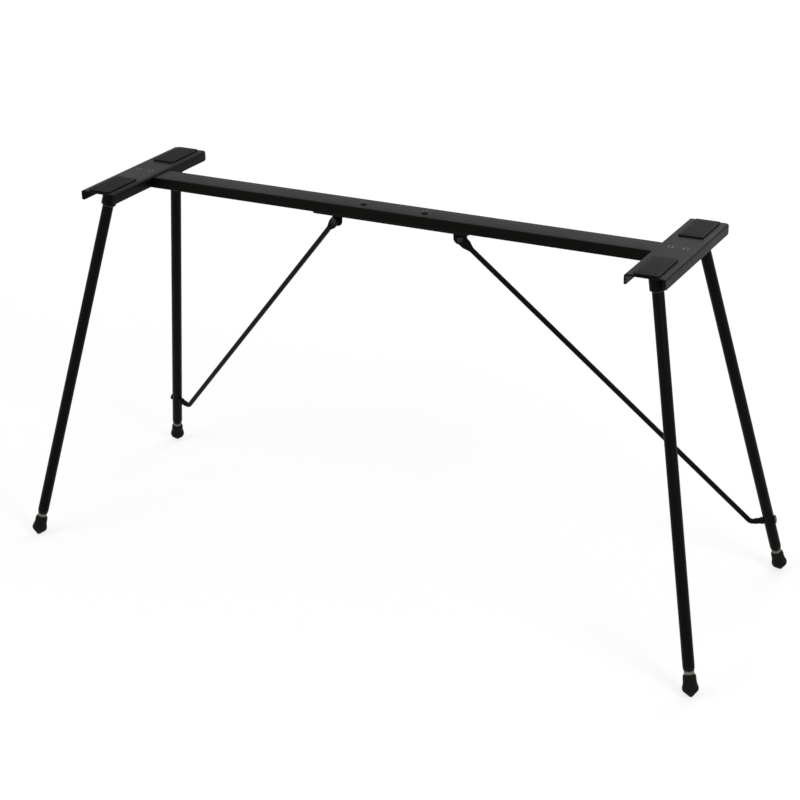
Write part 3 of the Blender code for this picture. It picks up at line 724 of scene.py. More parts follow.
def coat_finish(colours):
    """Satin black coat: orange peel with a fine grain, cloudy gloss, and specks of dust, more low down."""
    look = Finish("black_coat_satin")
    cloud = look.noise(9.0, 4.0, 0.55)
    peel = look.noise(650.0, 2.0, 0.5)
    grain = look.noise(2600.0, 2.0, 0.6)
    low = 1 - look.height().band(0.03, 0.30)
    speck = look.noise(1500.0, 2.0, 0.6).band(0.62, 0.74) * (0.35 + 0.65 * low) * colours.wear
    base = look.mix(cloud, scaled(colours.coat, 0.7), scaled(colours.coat, 1.3))
    base = look.mix(speck, base, scaled(colours.dust, 0.35))
    look.set(Base_Color=base, Roughness=0.30 + 0.18 * cloud + 0.20 * speck,
             Normal=look.bump(grain, 0.20, 0.0003, look.bump(peel, 0.26, 0.0006)))
    return look.set(Specular_IOR_Level=0.05)


def plastic_finish(colours):
    """Moulded black plastic with a fine spark-eroded grain."""
    look = Finish("black_plastic_moulded")
    grain = look.noise(2600.0, 3.0, 0.6)
    cloud = look.noise(60.0, 3.0, 0.5)
    base = look.mix(cloud, scaled(colours.plastic, 0.8), scaled(colours.plastic, 1.3))
    look.set(Base_Color=base, Roughness=0.40 + 0.18 * cloud, Normal=look.bump(grain, 0.40, 0.0003))
    return look.set(Specular_IOR_Level=0.08)


def rubber_finish(colours, name="rubber_moulded", tone=None):
    """Moulded rubber: pebbled grain, dull sheen, dust on the parts that touch the floor."""
    look = Finish(name)
    tone = tone or colours.rubber
    pebble = look.node("ShaderNodeTexVoronoi", {"feature": "F1"}, {"Vector": look.place, "Scale": 1500.0})
    cloud = look.noise(70.0, 4.0, 0.6)
    scuff = look.noise(420.0, 4.0, 0.65, stretch=(1.0, 1.0, 0.35)).band(0.52, 0.74)
    low = 1 - look.height().band(0.001, 0.016)
    dusty = (low * 1.2 + 0.20) * scuff * colours.wear
    base = look.mix(cloud, scaled(tone, 0.75), scaled(tone, 1.35))
    base = look.mix(dusty, base, colours.dust)
    look.set(Base_Color=base, Roughness=0.58 + 0.18 * cloud + 0.12 * low,
             Normal=look.bump(pebble, 0.36, 0.0004, look.bump(scuff, 0.12, 0.0003)))
    return look.set(Specular_IOR_Level=0.08)


def pad_finish(colours):
    """The pads' greyer rubber."""
    return rubber_finish(colours, "pad_rubber_moulded", colours.pad)


def zinc_finish(colours):
    """Dull zinc plate: faint crystals, turned lines and a yellowish film."""
    look = Finish("zinc_plated")
    crystal = look.node("ShaderNodeTexVoronoi", {"feature": "F1"}, {"Vector": look.place, "Scale": 1400.0})
    film = look.noise(160.0, 4.0, 0.6)
    lines = look.noise(9000.0, 2.0, 0.5, source=look.along, stretch=(0.02, 1.0, 1.0))
    base = look.mix(film, scaled(colours.zinc, 0.72), scaled(colours.zinc, 1.18))
    look.set(Base_Color=base, Metallic=1.0, Roughness=0.34 + 0.16 * film + 0.06 * crystal,
             Normal=look.bump(lines, 0.10, 0.0001, look.bump(crystal, 0.06, 0.0002)))
    return look.material


def black_zinc_finish(colours):
    """Black zinc plate on fasteners, with a little bare metal."""
    look = Finish("black_zinc_plated")
    film = look.noise(220.0, 4.0, 0.6)
    rub = look.noise(700.0, 3.0, 0.6).band(0.60, 0.72) * colours.wear
    base = look.mix(film, scaled(colours.black_zinc, 0.7), scaled(colours.black_zinc, 1.4))
    base = look.mix(rub * 0.5, base, scaled(colours.zinc, 0.5))
    look.set(Base_Color=base, Metallic=0.75, Roughness=0.34 + 0.18 * film,
             Normal=look.bump(film, 0.06, 0.0002))
    return look.material


MAKERS = {"coat": coat_finish, "plastic": plastic_finish, "rubber": rubber_finish, "pad": pad_finish,
          "zinc": zinc_finish, "black_zinc": black_zinc_finish}
MATERIALS = {"coat": "black_coat_satin", "plastic": "black_plastic_moulded", "rubber": "rubber_moulded",
             "pad": "pad_rubber_moulded", "zinc": "zinc_plated", "black_zinc": "black_zinc_plated"}


def finish_of(stand, kind):
    """The finish of that kind, made on its first use."""
    found = bpy.data.materials.get(MATERIALS[kind])
    return found or MAKERS[kind](stand.finish)


def add(stand, name, grids, kind, node):
    """A piece with its finish."""
    return piece(name, grids, finish_of(stand, kind), node)


# Operators, one for each group of like pieces


class StandOperator:
    """What the stand's operators share."""

    bl_options = {"REGISTER", "UNDO"}


class STAND_OT_leg_tubes(StandOperator, bpy.types.Operator):
    """Make the four leg tubes, the rear ones cross-drilled for the brace bolts."""

    bl_idname = "stand.leg_tubes"
    bl_label = "Leg tubes"

    def execute(self, context):
        stand = context.scene.stand
        leg, along = stand.leg, Along(stand)
        inner, outer, edge = leg.radius - leg.wall, leg.radius, leg.tube_edge
        rows = [(inner, -along.tube_start, edge), (outer, -along.tube_start, edge),
                (outer, -along.tube_end, edge), (inner, -along.tube_end, edge)]
        for prefix, signs in LEGS.items():
            loop = [(inner, -(along.tube_start + along.tube_end) / 2, 0.0)] + rows
            grid = turned(leg_place(leg, signs), loop, sides=96, closed=True)
            item = add(stand, prefix + "_tube", [grid], "coat", prefix + "_leg_tube")
            if signs[1] > 0:
                line = BraceLine(stand, signs[0])
                drilled(item, place_at(line.joint, line.outward), stand.top.screw_radius + leg.gap,
                        -2 * leg.radius, 2 * leg.radius)
        return {"FINISHED"}


class STAND_OT_leg_studs(StandOperator, bpy.types.Operator):
    """Make the threaded stud plugs in the legs' upper ends."""

    bl_idname = "stand.leg_studs"
    bl_label = "Leg studs"

    def execute(self, context):
        stand = context.scene.stand
        leg, along = stand.leg, Along(stand)
        seat = -along.socket_end - leg.gap
        shank = leg.radius - leg.wall - leg.gap
        for prefix, signs in LEGS.items():
            place = leg_place(leg, signs)
            top = turned_rings(eased([(0.0, seat + leg.stud_length), (leg.stud_radius - 0.001,
                                                                      seat + leg.stud_length)], 1), 36)
            thread = thread_rings(leg.stud_radius, stand.foot.thread_depth, leg.stud_pitch,
                                  seat + leg.stud_length - 0.001, seat)
            rows = [(leg.stud_radius, seat), (leg.radius, seat, 0.0003),
                    (leg.radius, seat - leg.stud_collar, 0.0003), (shank, seat - leg.stud_collar),
                    (shank, seat - leg.stud_shank, 0.0005), (0.0, seat - leg.stud_shank)]
            rest = turned_rings(eased(rows, 4), 36)
            rings = moved(np.concatenate((top, thread, rest)), place)
            add(stand, prefix + "_stud", [(rings, False)], "black_zinc", prefix + "_leg_stud")
        return {"FINISHED"}


class STAND_OT_leg_plugs(StandOperator, bpy.types.Operator):
    """Make the plastic bushes with their tapered collars at the legs' lower ends."""

    bl_idname = "stand.leg_plugs"
    bl_label = "Leg plugs"

    def execute(self, context):
        stand = context.scene.stand
        leg, along = stand.leg, Along(stand)
        shank, bore = leg.radius - leg.wall - leg.gap, stand.foot.stem_radius + leg.gap
        shoulder = -along.plug_end + leg.plug_collar
        rows = [(bore, shoulder), (bore, shoulder + leg.plug_shank, 0.0004),
                (shank, shoulder + leg.plug_shank, 0.0006), (shank, shoulder),
                (leg.radius, shoulder, 0.0003), (leg.plug_rim_radius, shoulder - leg.plug_rim, 0.0015),
                (leg.plug_end_radius, -along.plug_end, 0.0006), (bore, -along.plug_end, 0.0003)]
        for prefix, signs in LEGS.items():
            grid = turned(leg_place(leg, signs), rows, closed=True)
            add(stand, prefix + "_plug", [grid], "plastic", prefix + "_leg_plug")
        return {"FINISHED"}


class STAND_OT_sockets(StandOperator, bpy.types.Operator):
    """Make the angled leg bosses, cut level under the brackets, and their weld beads."""

    bl_idname = "stand.sockets"
    bl_label = "Leg sockets"

    def execute(self, context):
        stand = context.scene.stand
        leg, along = stand.leg, Along(stand)
        bore = leg.stud_radius + leg.gap
        end = -along.socket_end
        rows = eased([(bore, end + 0.0008), (bore + 0.0008, end), (leg.socket_radius - leg.socket_chamfer, end),
                      (leg.socket_radius, end + leg.socket_chamfer, 0.0006), (leg.socket_radius, end + 0.004)])
        for prefix, signs in LEGS.items():
            place = leg_place(leg, signs)
            lower = moved(turned_rings(rows, 72), place)
            upper = [self.level_ring(place, radius, along.spine_top) for radius in (leg.socket_radius, bore)]
            grid = np.concatenate((lower, np.array(upper)))
            add(stand, prefix + "_boss", [(grid, True)], "coat", prefix + "_leg_socket")
            self.bead(stand, prefix, place, along.plate_under)
        return {"FINISHED"}

    def level_ring(self, place, radius, level):
        """The boss's ring slid up the leg's axis to a level plane: z = (level - z0) / axis z."""
        ring = moved(turned_rings([(radius, 0.0, 0.0, 0.0)], 72), place)[0]
        return ring + place[:3, 2] * ((level - ring[:, 2]) / place[2, 2])[:, None]

    def bead(self, stand, prefix, place, level):
        """A rippled weld: a tube round the boss's level ellipse, its radius swelling at each ripple."""
        sides, ripples = 216, 36
        leg = stand.leg
        ring = moved(turned_rings([(leg.socket_radius, 0.0, 0.0, 0.0)], sides), place)[0]
        ring = ring + place[:3, 2] * ((level - ring[:, 2]) / place[2, 2])[:, None]
        outward = ring - ring.mean(axis=0)
        outward /= np.linalg.norm(outward, axis=1)[:, None]
        turn = np.arange(16) * 2 * pi / 16
        phase = np.arange(sides) * 2 * pi / sides
        swell = leg.weld * (0.86 + 0.14 * np.abs(np.sin(phase * ripples / 2)))
        flat = outward[None] * np.cos(turn)[:, None, None] * swell[None, :, None]
        rise = np.sin(turn)[:, None, None] * swell[None, :, None] * np.array((0.0, 0.0, 0.8))
        grid = ring[None] + flat + rise - np.array((0.0, 0.0, leg.gap))
        add(stand, prefix + "_weld_bead", [(np.swapaxes(grid, 0, 1), True)], "coat", "")


class STAND_OT_feet(StandOperator, bpy.types.Operator):
    """Make the lock nuts, the threaded stems and the rubber feet."""

    bl_idname = "stand.feet"
    bl_label = "Levelling feet"

    def execute(self, context):
        stand = context.scene.stand
        leg, foot, along = stand.leg, stand.foot, Along(stand)
        for prefix, signs in LEGS.items():
            place = leg_place(leg, signs)
            nut = nut_grid(shifted(place, -along.nut), foot.nut_flats, foot.nut_height,
                           foot.stem_radius + leg.gap)
            add(stand, prefix + "_nut", [nut], "zinc", prefix + "_lock_nut")
            add(stand, prefix + "_stem", [(moved(self.stem(foot, along), place), False)], "zinc",
                prefix + "_foot_stem")
            rings = turned_rings(self.rubber(leg, foot, along), 96)
            add(stand, prefix + "_shoe", [(moved(rings, place), False)], "rubber", prefix + "_foot")
        return {"FINISHED"}

    def stem(self, foot, along):
        """A chamfered top, a V thread down to the foot and a plain shank inside it."""
        bottom = -along.foot_top - foot.stem_buried
        top = bottom + foot.stem_length
        head = turned_rings(eased([(0.0, top), (foot.stem_radius - 0.001, top)], 1), THREAD_SIDES)
        thread = thread_rings(foot.stem_radius, foot.thread_depth, foot.stem_pitch, top - 0.001,
                              -along.foot_top - 0.001)
        end = turned_rings(eased([(foot.stem_radius, bottom), (0.0, bottom)], 1), THREAD_SIDES)
        return np.concatenate((head, thread, end))

    def rubber(self, leg, foot, along):
        """The foot's outline: bore, quarter-ellipse shoulder, smooth swelling, roll, 45 degree cone, nose.

        The swelling's radius is neck + swell * (1 - cos(pi s^1.6)) / 2 for s from 0 at the
        neck to 1 at the widest ring. The roll is a quadratic curve into the cone.
        """
        tip, top = -along.tip, -along.foot_top
        bore = foot.stem_radius + leg.gap
        floor_of_bore = top - foot.stem_buried - leg.gap
        inside = eased([(0.0, floor_of_bore), (bore, floor_of_bore), (bore, top, 0.0006),
                        (foot.top_radius, top, 0.0006)], 5)[:, :2]
        turn = np.linspace(0, pi / 2, 16)[1:]
        shoulder = np.stack((foot.top_radius + (foot.neck_radius - foot.top_radius) * np.sin(turn),
                             top - foot.shoulder * (1 - np.cos(turn))), axis=1)
        waist, widest = top - foot.shoulder, tip + foot.widest_at
        s = np.linspace(0, 1, 24)[1:]
        swelling = np.stack((foot.neck_radius + (foot.radius - foot.neck_radius)
                             * (1 - np.cos(pi * s ** 1.6)) / 2, waist + (widest - waist) * s), axis=1)
        cone_end = tip + foot.cone_radius - foot.nose_radius * (sqrt(2) - 1)
        start, end = np.array((foot.radius, widest)), np.array((foot.cone_radius, cone_end))
        control = np.array((foot.radius, cone_end + foot.radius - foot.cone_radius))
        t = np.linspace(0, 1, 12)[1:, None]
        roll = (1 - t) ** 2 * start + 2 * t * (1 - t) * control + t ** 2 * end
        turn = np.linspace(pi / 4, 0, 12)
        nose = np.stack((foot.nose_radius * np.sin(turn), tip + foot.nose_radius * (1 - np.cos(turn))),
                        axis=1)
        outline = np.concatenate((inside, shoulder, swelling, roll, nose))
        return np.concatenate((outline, np.zeros_like(outline)), axis=1)


class STAND_OT_braces(StandOperator, bpy.types.Operator):
    """Make the bent brace rods, each bored below and flattened and drilled above."""

    bl_idname = "stand.braces"
    bl_label = "Braces"

    def execute(self, context):
        stand = context.scene.stand
        for side, sign in SIDES.items():
            line = BraceLine(stand, sign)
            item = add(stand, side + "_rod", [(self.rod(stand, line), False)], "coat", side + "_brace")
            drilled(item, place_at(line.pivot, line.across), stand.top.screw_radius + stand.leg.gap,
                    -2 * stand.brace.tab_thickness, 2 * stand.brace.tab_thickness)
        return {"FINISHED"}

    def rod(self, stand, line):
        """Rings along stub, bend and rod, from round to a flat rounded tab.

        Past the pivot the tab's half width at distance d is sqrt(half^2 - d^2). The
        frame at each ring keeps the tab's directions against the bend's plane.
        """
        size, top = stand.brace, stand.top
        inward, upward = -line.outward, line.upward
        turn = np.arccos(inward.dot(upward))
        setback = size.bend_radius * tan(turn / 2)
        first, last = line.kink - inward * setback, line.kink + upward * setback
        normal = unit(np.cross(inward, upward))
        centre = first + np.cross(normal, inward) * size.bend_radius
        bend = np.linspace(0, turn, 24)
        radius, bore = size.radius, top.screw_radius + stand.leg.gap
        depth = size.bolt_engagement + stand.leg.gap
        half, flat = size.tab_width / 2, size.tab_thickness / 2
        run = np.linalg.norm(line.pivot - last)

        wide_end, taper_at = size.end_radius, size.end_length
        stub_at = np.array([depth, depth, 0.0006, 0.0, 0.0, 0.0003, 0.0008, taper_at - 0.0003,
                            taper_at + size.end_taper * 0.3, taper_at + size.end_taper])
        stub_radius = np.array([0.0, bore, bore, bore + 0.0006, wide_end - 0.0008, wide_end - 0.0003,
                                wide_end, wide_end, wide_end - 0.3 * (wide_end - radius), radius])
        reach = np.concatenate((np.linspace(0.0, 1.0, 14) * (size.tab_length - 0.012) + 0.012, ))[::-1]
        ease = (1 - np.cos(np.linspace(0, pi, len(reach)))) / 2
        dome = half * np.sin(np.linspace(0, pi / 2, 20))
        rod_at = np.concatenate(([0.0], run - reach, run + dome))
        rod_wide = np.concatenate(([radius], radius + (half - radius) * ease,
                                   np.sqrt(np.maximum(half ** 2 - dome ** 2, 0.0))))
        rod_thick = np.concatenate(([radius], radius + (flat - radius) * ease, np.full(len(dome), flat)))
        tip_close = np.clip((half - dome) / 0.0006, 0, 1)
        rod_thick[-len(dome):] = flat - 0.0006 * (1 - np.sqrt(np.maximum(1 - (1 - tip_close) ** 2, 0)))

        centres = np.concatenate((line.end + inward * stub_at[:, None],
                                  centre - np.cross(normal, inward) * size.bend_radius
                                  * np.cos(bend)[:, None] + inward * size.bend_radius
                                  * np.sin(bend)[:, None], last + upward * rod_at[:, None]))
        angles = np.concatenate((np.zeros(len(stub_at)), bend, np.full(len(rod_at), turn)))
        ahead = inward * np.cos(angles)[:, None] + np.cross(normal, inward) * np.sin(angles)[:, None]
        beside = np.cross(normal, ahead)
        end_beside = np.cross(normal, upward)
        thick_way = line.across.dot(normal) * normal + line.across.dot(end_beside) * beside
        wide_way = np.cross(thick_way, ahead)
        wide = np.concatenate((stub_radius, np.full(len(bend), radius), rod_wide))
        thick = np.concatenate((stub_radius, np.full(len(bend), radius), rod_thick))
        corner = np.minimum(wide, thick)
        rounded = np.concatenate((np.full(len(wide) - len(rod_wide), 1.0), [1.0], 1 - 0.45 * ease,
                                  np.full(len(dome), 0.55)))
        sections = round_sections(wide, thick, corner * rounded, 10)
        return centres[:, None] + sections[..., :1] * wide_way[:, None] + sections[..., 1:] * thick_way[:, None]


class STAND_OT_brace_fittings(StandOperator, bpy.types.Operator):
    """Make the brace bolts with their hexagonal recess, and the hollowed spacers."""

    bl_idname = "stand.brace_fittings"
    bl_label = "Brace bolts and spacers"

    def execute(self, context):
        stand = context.scene.stand
        leg, size, top = stand.leg, stand.brace, stand.top
        shank = top.screw_radius
        below = 2 * leg.radius + 2 * leg.gap + size.spacer_length + size.bolt_engagement
        for side, sign in SIDES.items():
            line = BraceLine(stand, sign)
            rows = button_corners(size.bolt_radius, size.bolt_height, shank, below, size.bolt_key,
                                  0.6 * size.bolt_height)
            place = place_at(line.joint + line.outward * (leg.radius + leg.gap), line.outward)
            add(stand, side + "_bolt", [turned(place, rows)], "black_zinc", side + "_brace_bolt")
            place = place_at(line.joint, line.outward)
            add(stand, side + "_spacer", [(self.spacer(leg, size, top, place, line, sign), True)], "plastic",
                side + "_brace_spacer")
        return {"FINISHED"}

    def spacer(self, leg, size, top, place, line, sign):
        """A ring whose leg side follows the tube: depth = sqrt(R^2 - y^2), y across the leg's axis."""
        bore, outer, edge = top.screw_radius + leg.gap, size.spacer_radius, 0.0005
        clear = leg.radius + leg.gap
        far = clear + size.spacer_length
        across = place[:3, :3].T @ np.cross(leg_down(leg, (sign, 1)), line.outward)
        radii = np.array([bore, outer - edge, outer, outer, outer - edge, bore + edge, bore])
        rings = turned_rings([(r, 0.0, 0.0, 0.0) for r in radii], 72)
        offset = rings @ across
        hollow = -np.sqrt(np.maximum(clear ** 2 - offset ** 2, 0.0))
        inset = np.array([0.0, 0.0, edge, 0.0, 0.0, 0.0, 0.0])[:, None]
        level = np.array([0.0, 0.0, 0.0, -far + edge, -far, -far, -far + edge])[:, None]
        near_leg = np.array([True, True, True, False, False, False, False])[:, None]
        rings[..., 2] = np.where(near_leg, hollow - inset, level)
        return moved(rings, place)


class STAND_OT_screws(StandOperator, bpy.types.Operator):
    """Make the spine, bracket and pivot screws and their nuts."""

    bl_idname = "stand.screws"
    bl_label = "Screws and nuts"

    def execute(self, context):
        stand = context.scene.stand
        leg, top, along = stand.leg, stand.top, Along(stand)
        gap, bore = leg.gap, top.screw_radius + leg.gap
        down = along.plate_top - along.spine_under + gap + top.nut_height + top.screw_tail
        for side, sign in SIDES.items():
            for number, step in (("inner", -1), ("outer", 1)):
                x = sign * (leg.spacing_x / 2 + step * top.screw_pitch / 2)
                place = self.upright(x, along.plate_top)
                add(stand, f"{side}_sunk_screw_{number}", [turned(place, self.sunk(top, down))],
                    "black_zinc", f"{side}_spine_screw_{number}")
                seat = self.upright(x, along.spine_under - gap - top.nut_height)
                self.nut(stand, f"{side}_nut_{number}", seat, bore, f"{side}_spine_nut_{number}")
            x = sign * top.base_screw_x
            through = 3 * gap + top.spine_height + top.base_thickness + top.nut_height + top.screw_tail
            rows = button_corners(top.head_radius, top.low_head, top.screw_radius, through, 0.004, 0.0018)
            add(stand, side + "_base_screw", [turned(self.upright(x, along.spine_top + gap), rows)],
                "black_zinc", side + "_bracket_screw")
            self.nut(stand, side + "_base_nut", self.upright(x, along.base_under - gap - top.nut_height),
                     bore, side + "_bracket_nut")
            self.pivot(stand, side, sign, bore)
        return {"FINISHED"}

    def pivot(self, stand, side, sign, bore):
        """The screw and nut through tab and ear."""
        leg, top, brace = stand.leg, stand.top, stand.brace
        line = BraceLine(stand, sign)
        half = brace.tab_thickness / 2 + leg.gap
        through = 3 * leg.gap + brace.tab_thickness + top.ear_thickness + top.nut_height + top.screw_tail
        rows = button_corners(top.head_radius, top.head_height, top.screw_radius, through, 0.004, 0.0020)
        place = place_at(line.pivot - line.across * half, -line.across)
        add(stand, side + "_hinge_screw", [turned(place, rows)], "black_zinc", side + "_pivot_screw")
        seat = place_at(line.pivot + line.across * (half + top.ear_thickness + leg.gap), line.across)
        self.nut(stand, side + "_hinge_nut", seat, bore, side + "_pivot_nut")

    def upright(self, x, z):
        """A level frame over the spine's middle line."""
        made = np.eye(4)
        made[:3, 3] = (x, 0.0, z)
        return made

    def nut(self, stand, name, place, bore, node):
        """One nut of the frame's screws."""
        top = stand.top
        add(stand, name, [nut_grid(place, top.nut_flats, top.nut_height, bore)], "black_zinc", node)

    def sunk(self, top, down):
        """Rows of a countersunk screw with a hexagonal recess, flush with the frame's origin."""
        recess = 0.004 / 2 / cos(pi / 6)
        return [(0.0, -0.0020), (recess, -0.0020, 0.0, 1.0), (recess, -0.0002, 0.0, 1.0),
                (recess + 0.0004, 0.0, 0.0001), (top.sink_radius, 0.0, 0.0002),
                (top.screw_radius, top.screw_radius - top.sink_radius, 0.0004),
                (top.screw_radius, 0.0006 - down), (top.screw_radius - 0.0006, -down), (0.0, -down)]


class STAND_OT_pads(StandOperator, bpy.types.Operator):
    """Make the ribbed rubber pads on the brackets."""

    bl_idname = "stand.pads"
    bl_label = "Pads"

    def execute(self, context):
        stand = context.scene.stand
        leg, top = stand.leg, stand.top
        thick = top.pad_thickness - top.pad_rib
        for prefix, signs in LEGS.items():
            centre = leg_top(leg, signs) - np.array((0.0, 0.0, top.pad_rib))
            grids = [self.slab(centre, top.pad_width / 2, top.pad_length / 2, 0.004, thick)]
            for step in np.linspace(-1, 1, 8):
                spot = centre + np.array((step * (top.pad_width / 2 - 0.006), 0.0, 0.0))
                grids.append(self.rib(spot, 0.0013, top.pad_length / 2 - 0.005, top.pad_rib))
            add(stand, prefix + "_rubber_pad", grids, "pad", prefix + "_pad")
        return {"FINISHED"}

    def slab(self, centre, half_x, half_y, corner, thick):
        """A rounded rectangle from -thick to 0: rings inset at both edges and closed to the middle."""
        edge = 0.0005
        turn = np.linspace(0, pi / 2, 5)
        inset = np.concatenate(([half_x * 0.99], edge * (1 - np.sin(turn)), edge * (1 - np.cos(turn)),
                                [half_x * 0.99]))
        level = np.concatenate(([-thick], -thick + edge * (1 - np.cos(turn)), -edge + edge * np.sin(turn),
                                [0.0]))
        sections = round_sections(half_x - inset, half_y - inset,
                                  np.maximum(corner - inset, 0.00005), 8)
        rings = np.concatenate((sections, np.broadcast_to(level[:, None, None], sections.shape[:2] + (1,))),
                               axis=2)
        rings = np.concatenate((rings[:1].mean(axis=1, keepdims=True) + 0 * rings[:1], rings,
                                rings[-1:].mean(axis=1, keepdims=True) + 0 * rings[-1:]))
        return rings + centre, False

    def rib(self, centre, half_x, half_y, rise):
        """A low half-round rib with round ends: an ellipsoid-ended bar sunk half way."""
        turn = np.linspace(-pi / 2, pi / 2, 15)
        along = np.where(turn < 0, -1.0, 1.0) * (half_y - half_x) + half_x * np.sin(turn)
        girth = np.cos(turn)
        around = np.arange(16) * 2 * pi / 16
        x = half_x * girth[:, None] * np.cos(around)
        z = rise * girth[:, None] * np.sin(around)
        y = along[:, None] + 0 * x
        return np.stack((x, y, z), axis=2) + centre, False


class STAND_OT_side_brackets(StandOperator, bpy.types.Operator):
    """Make the two folded side brackets, notched for the spine and countersunk."""

    bl_idname = "stand.side_brackets"
    bl_label = "Side brackets"

    def execute(self, context):
        stand = context.scene.stand
        leg, top, along = stand.leg, stand.top, Along(stand)
        length = leg.spacing_y + 2 * top.bracket_end
        rings = self.channel(top, length)
        sink = top.sink_radius + leg.gap
        bore = top.screw_radius + leg.gap
        for side, sign in SIDES.items():
            place = np.eye(4)
            place[:3, 3] = (sign * leg.spacing_x / 2, 0.0, along.plate_top)
            item = add(stand, side + "_channel", [(moved(rings, place), False)], "coat",
                       side + "_side_bracket")
            notch = bar_rings(top.spine_width / 2 + leg.gap, top.bracket_depth, 0.002,
                              -top.bracket_width / 4, top.bracket_width / 4)
            notch = notch + (-sign * top.bracket_width / 2, 0.0, -top.plate - top.bracket_depth)
            cutters = [(moved(notch, place), False)]
            for step in (-1, 1):
                hole = place.copy()
                hole[0, 3] += sign * step * top.screw_pitch / 2
                rows = [(0.0, 0.001), (sink + 0.001, 0.001), (bore, bore - sink), (bore, -0.01), (0.0, -0.01)]
                cutters.append(turned(hole, rows, 48, steps=1))
            cut_away(item, cutters)
        return {"FINISHED"}

    def channel(self, top, length):
        """A folded sheet: its U outline carried along Y.

        The outline's outer and inner points pair up about the sheet's middle. Near the
        ends the pairs close up as edge * (1 - sqrt(1 - t^2)), and the flanges' lower
        corners rise as corner * (1 - sqrt(1 - t^2)), t from 0 to 1 over the last stretch.
        """
        half, wall = top.bracket_width / 2, top.plate
        deep = top.plate + top.bracket_depth
        inner = half - wall
        outer_bend, inner_bend, tip = top.bracket_bend, top.bracket_bend - wall, 0.0006
        corners = [(-half, -deep / 2, 0.0), (-half, 0.0, outer_bend), (half, 0.0, outer_bend),
                   (half, -deep, tip), (inner, -deep, tip), (inner, -wall, inner_bend),
                   (-inner, -wall, inner_bend), (-inner, -deep, tip), (-half, -deep, tip)]
        outline = eased(corners + corners[:1], 8)[8:-8, :2]
        outline = np.roll(outline, 8, axis=0)
        middle = (outline + outline[::-1]) / 2
        edge, corner = 0.0006, 0.005
        t = np.linspace(1.0, 0.0, 7)
        reach = np.concatenate(([0.0], edge * (1 - t[:-1]), np.linspace(edge, corner, 9)))
        close = np.concatenate(([0.0], 1 - edge / wall * 2 * (1 - np.sqrt(1 - t[:-1] ** 2)), np.ones(9)))
        slope = 1 - np.minimum(reach / corner, 1.0)
        lift = corner * (1 - np.sqrt(1 - slope ** 2))
        y = np.concatenate((reach - length / 2, (length / 2 - reach)[::-1]))
        close, lift = (np.concatenate((v, v[::-1])) for v in (close, lift))
        points = middle + (outline - middle) * close[:, None, None]
        low = np.clip((-points[..., 1] - deep / 2) / (deep / 2), 0, 1)
        height = points[..., 1] + low * lift[:, None]
        return np.stack((points[..., 0], y[:, None] + 0 * height, height), axis=2)


class STAND_OT_spine(StandOperator, bpy.types.Operator):
    """Make the flat tube between the brackets, with rounded corners and its screw holes."""

    bl_idname = "stand.spine"
    bl_label = "Spine"

    def execute(self, context):
        stand = context.scene.stand
        leg, top, along = stand.leg, stand.top, Along(stand)
        place = np.eye(4)
        place[2, 3] = (along.spine_top + along.spine_under) / 2
        half_length = leg.spacing_x / 2 + top.spine_overlap
        item = add(stand, "flat_tube", [(moved(self.tube(top, half_length), place), True)], "coat", "spine")
        ends = [sign * (leg.spacing_x / 2 + step * top.screw_pitch / 2) for sign in (-1, 1) for step in (-1, 1)]
        bore = top.screw_radius + leg.gap
        rows = [(0.0, -top.spine_height), (bore, -top.spine_height), (bore, top.spine_height),
                (0.0, top.spine_height)]
        cutters = []
        for x in ends + [-top.base_screw_x, top.base_screw_x]:
            hole = place.copy()
            hole[0, 3] = x
            cutters.append(turned(hole, rows, 48, steps=1))
        cut_away(item, cutters)
        return {"FINISHED"}

    def tube(self, top, half_length):
        """Rounded rectangles carried along X: the outside, the two cut ends and the inside."""
        edge, wall = 0.0003, top.spine_wall
        half_y, half_z, corner = top.spine_width / 2, top.spine_height / 2, top.spine_corner
        inset = np.array([0.0, edge, wall - edge, wall, wall, wall - edge, edge, 0.0])
        x = np.array([1, 1, 1, 1, -1, -1, -1, -1]) * half_length
        x = x - np.sign(x) * edge * np.array([1, 0, 0, 1, 1, 0, 0, 1])
        sections = round_sections(half_y - inset, half_z - inset, np.maximum(corner - inset, 0.0006), 8)
        return np.concatenate((np.broadcast_to(x[:, None, None], sections.shape[:2] + (1,)), sections), axis=2)


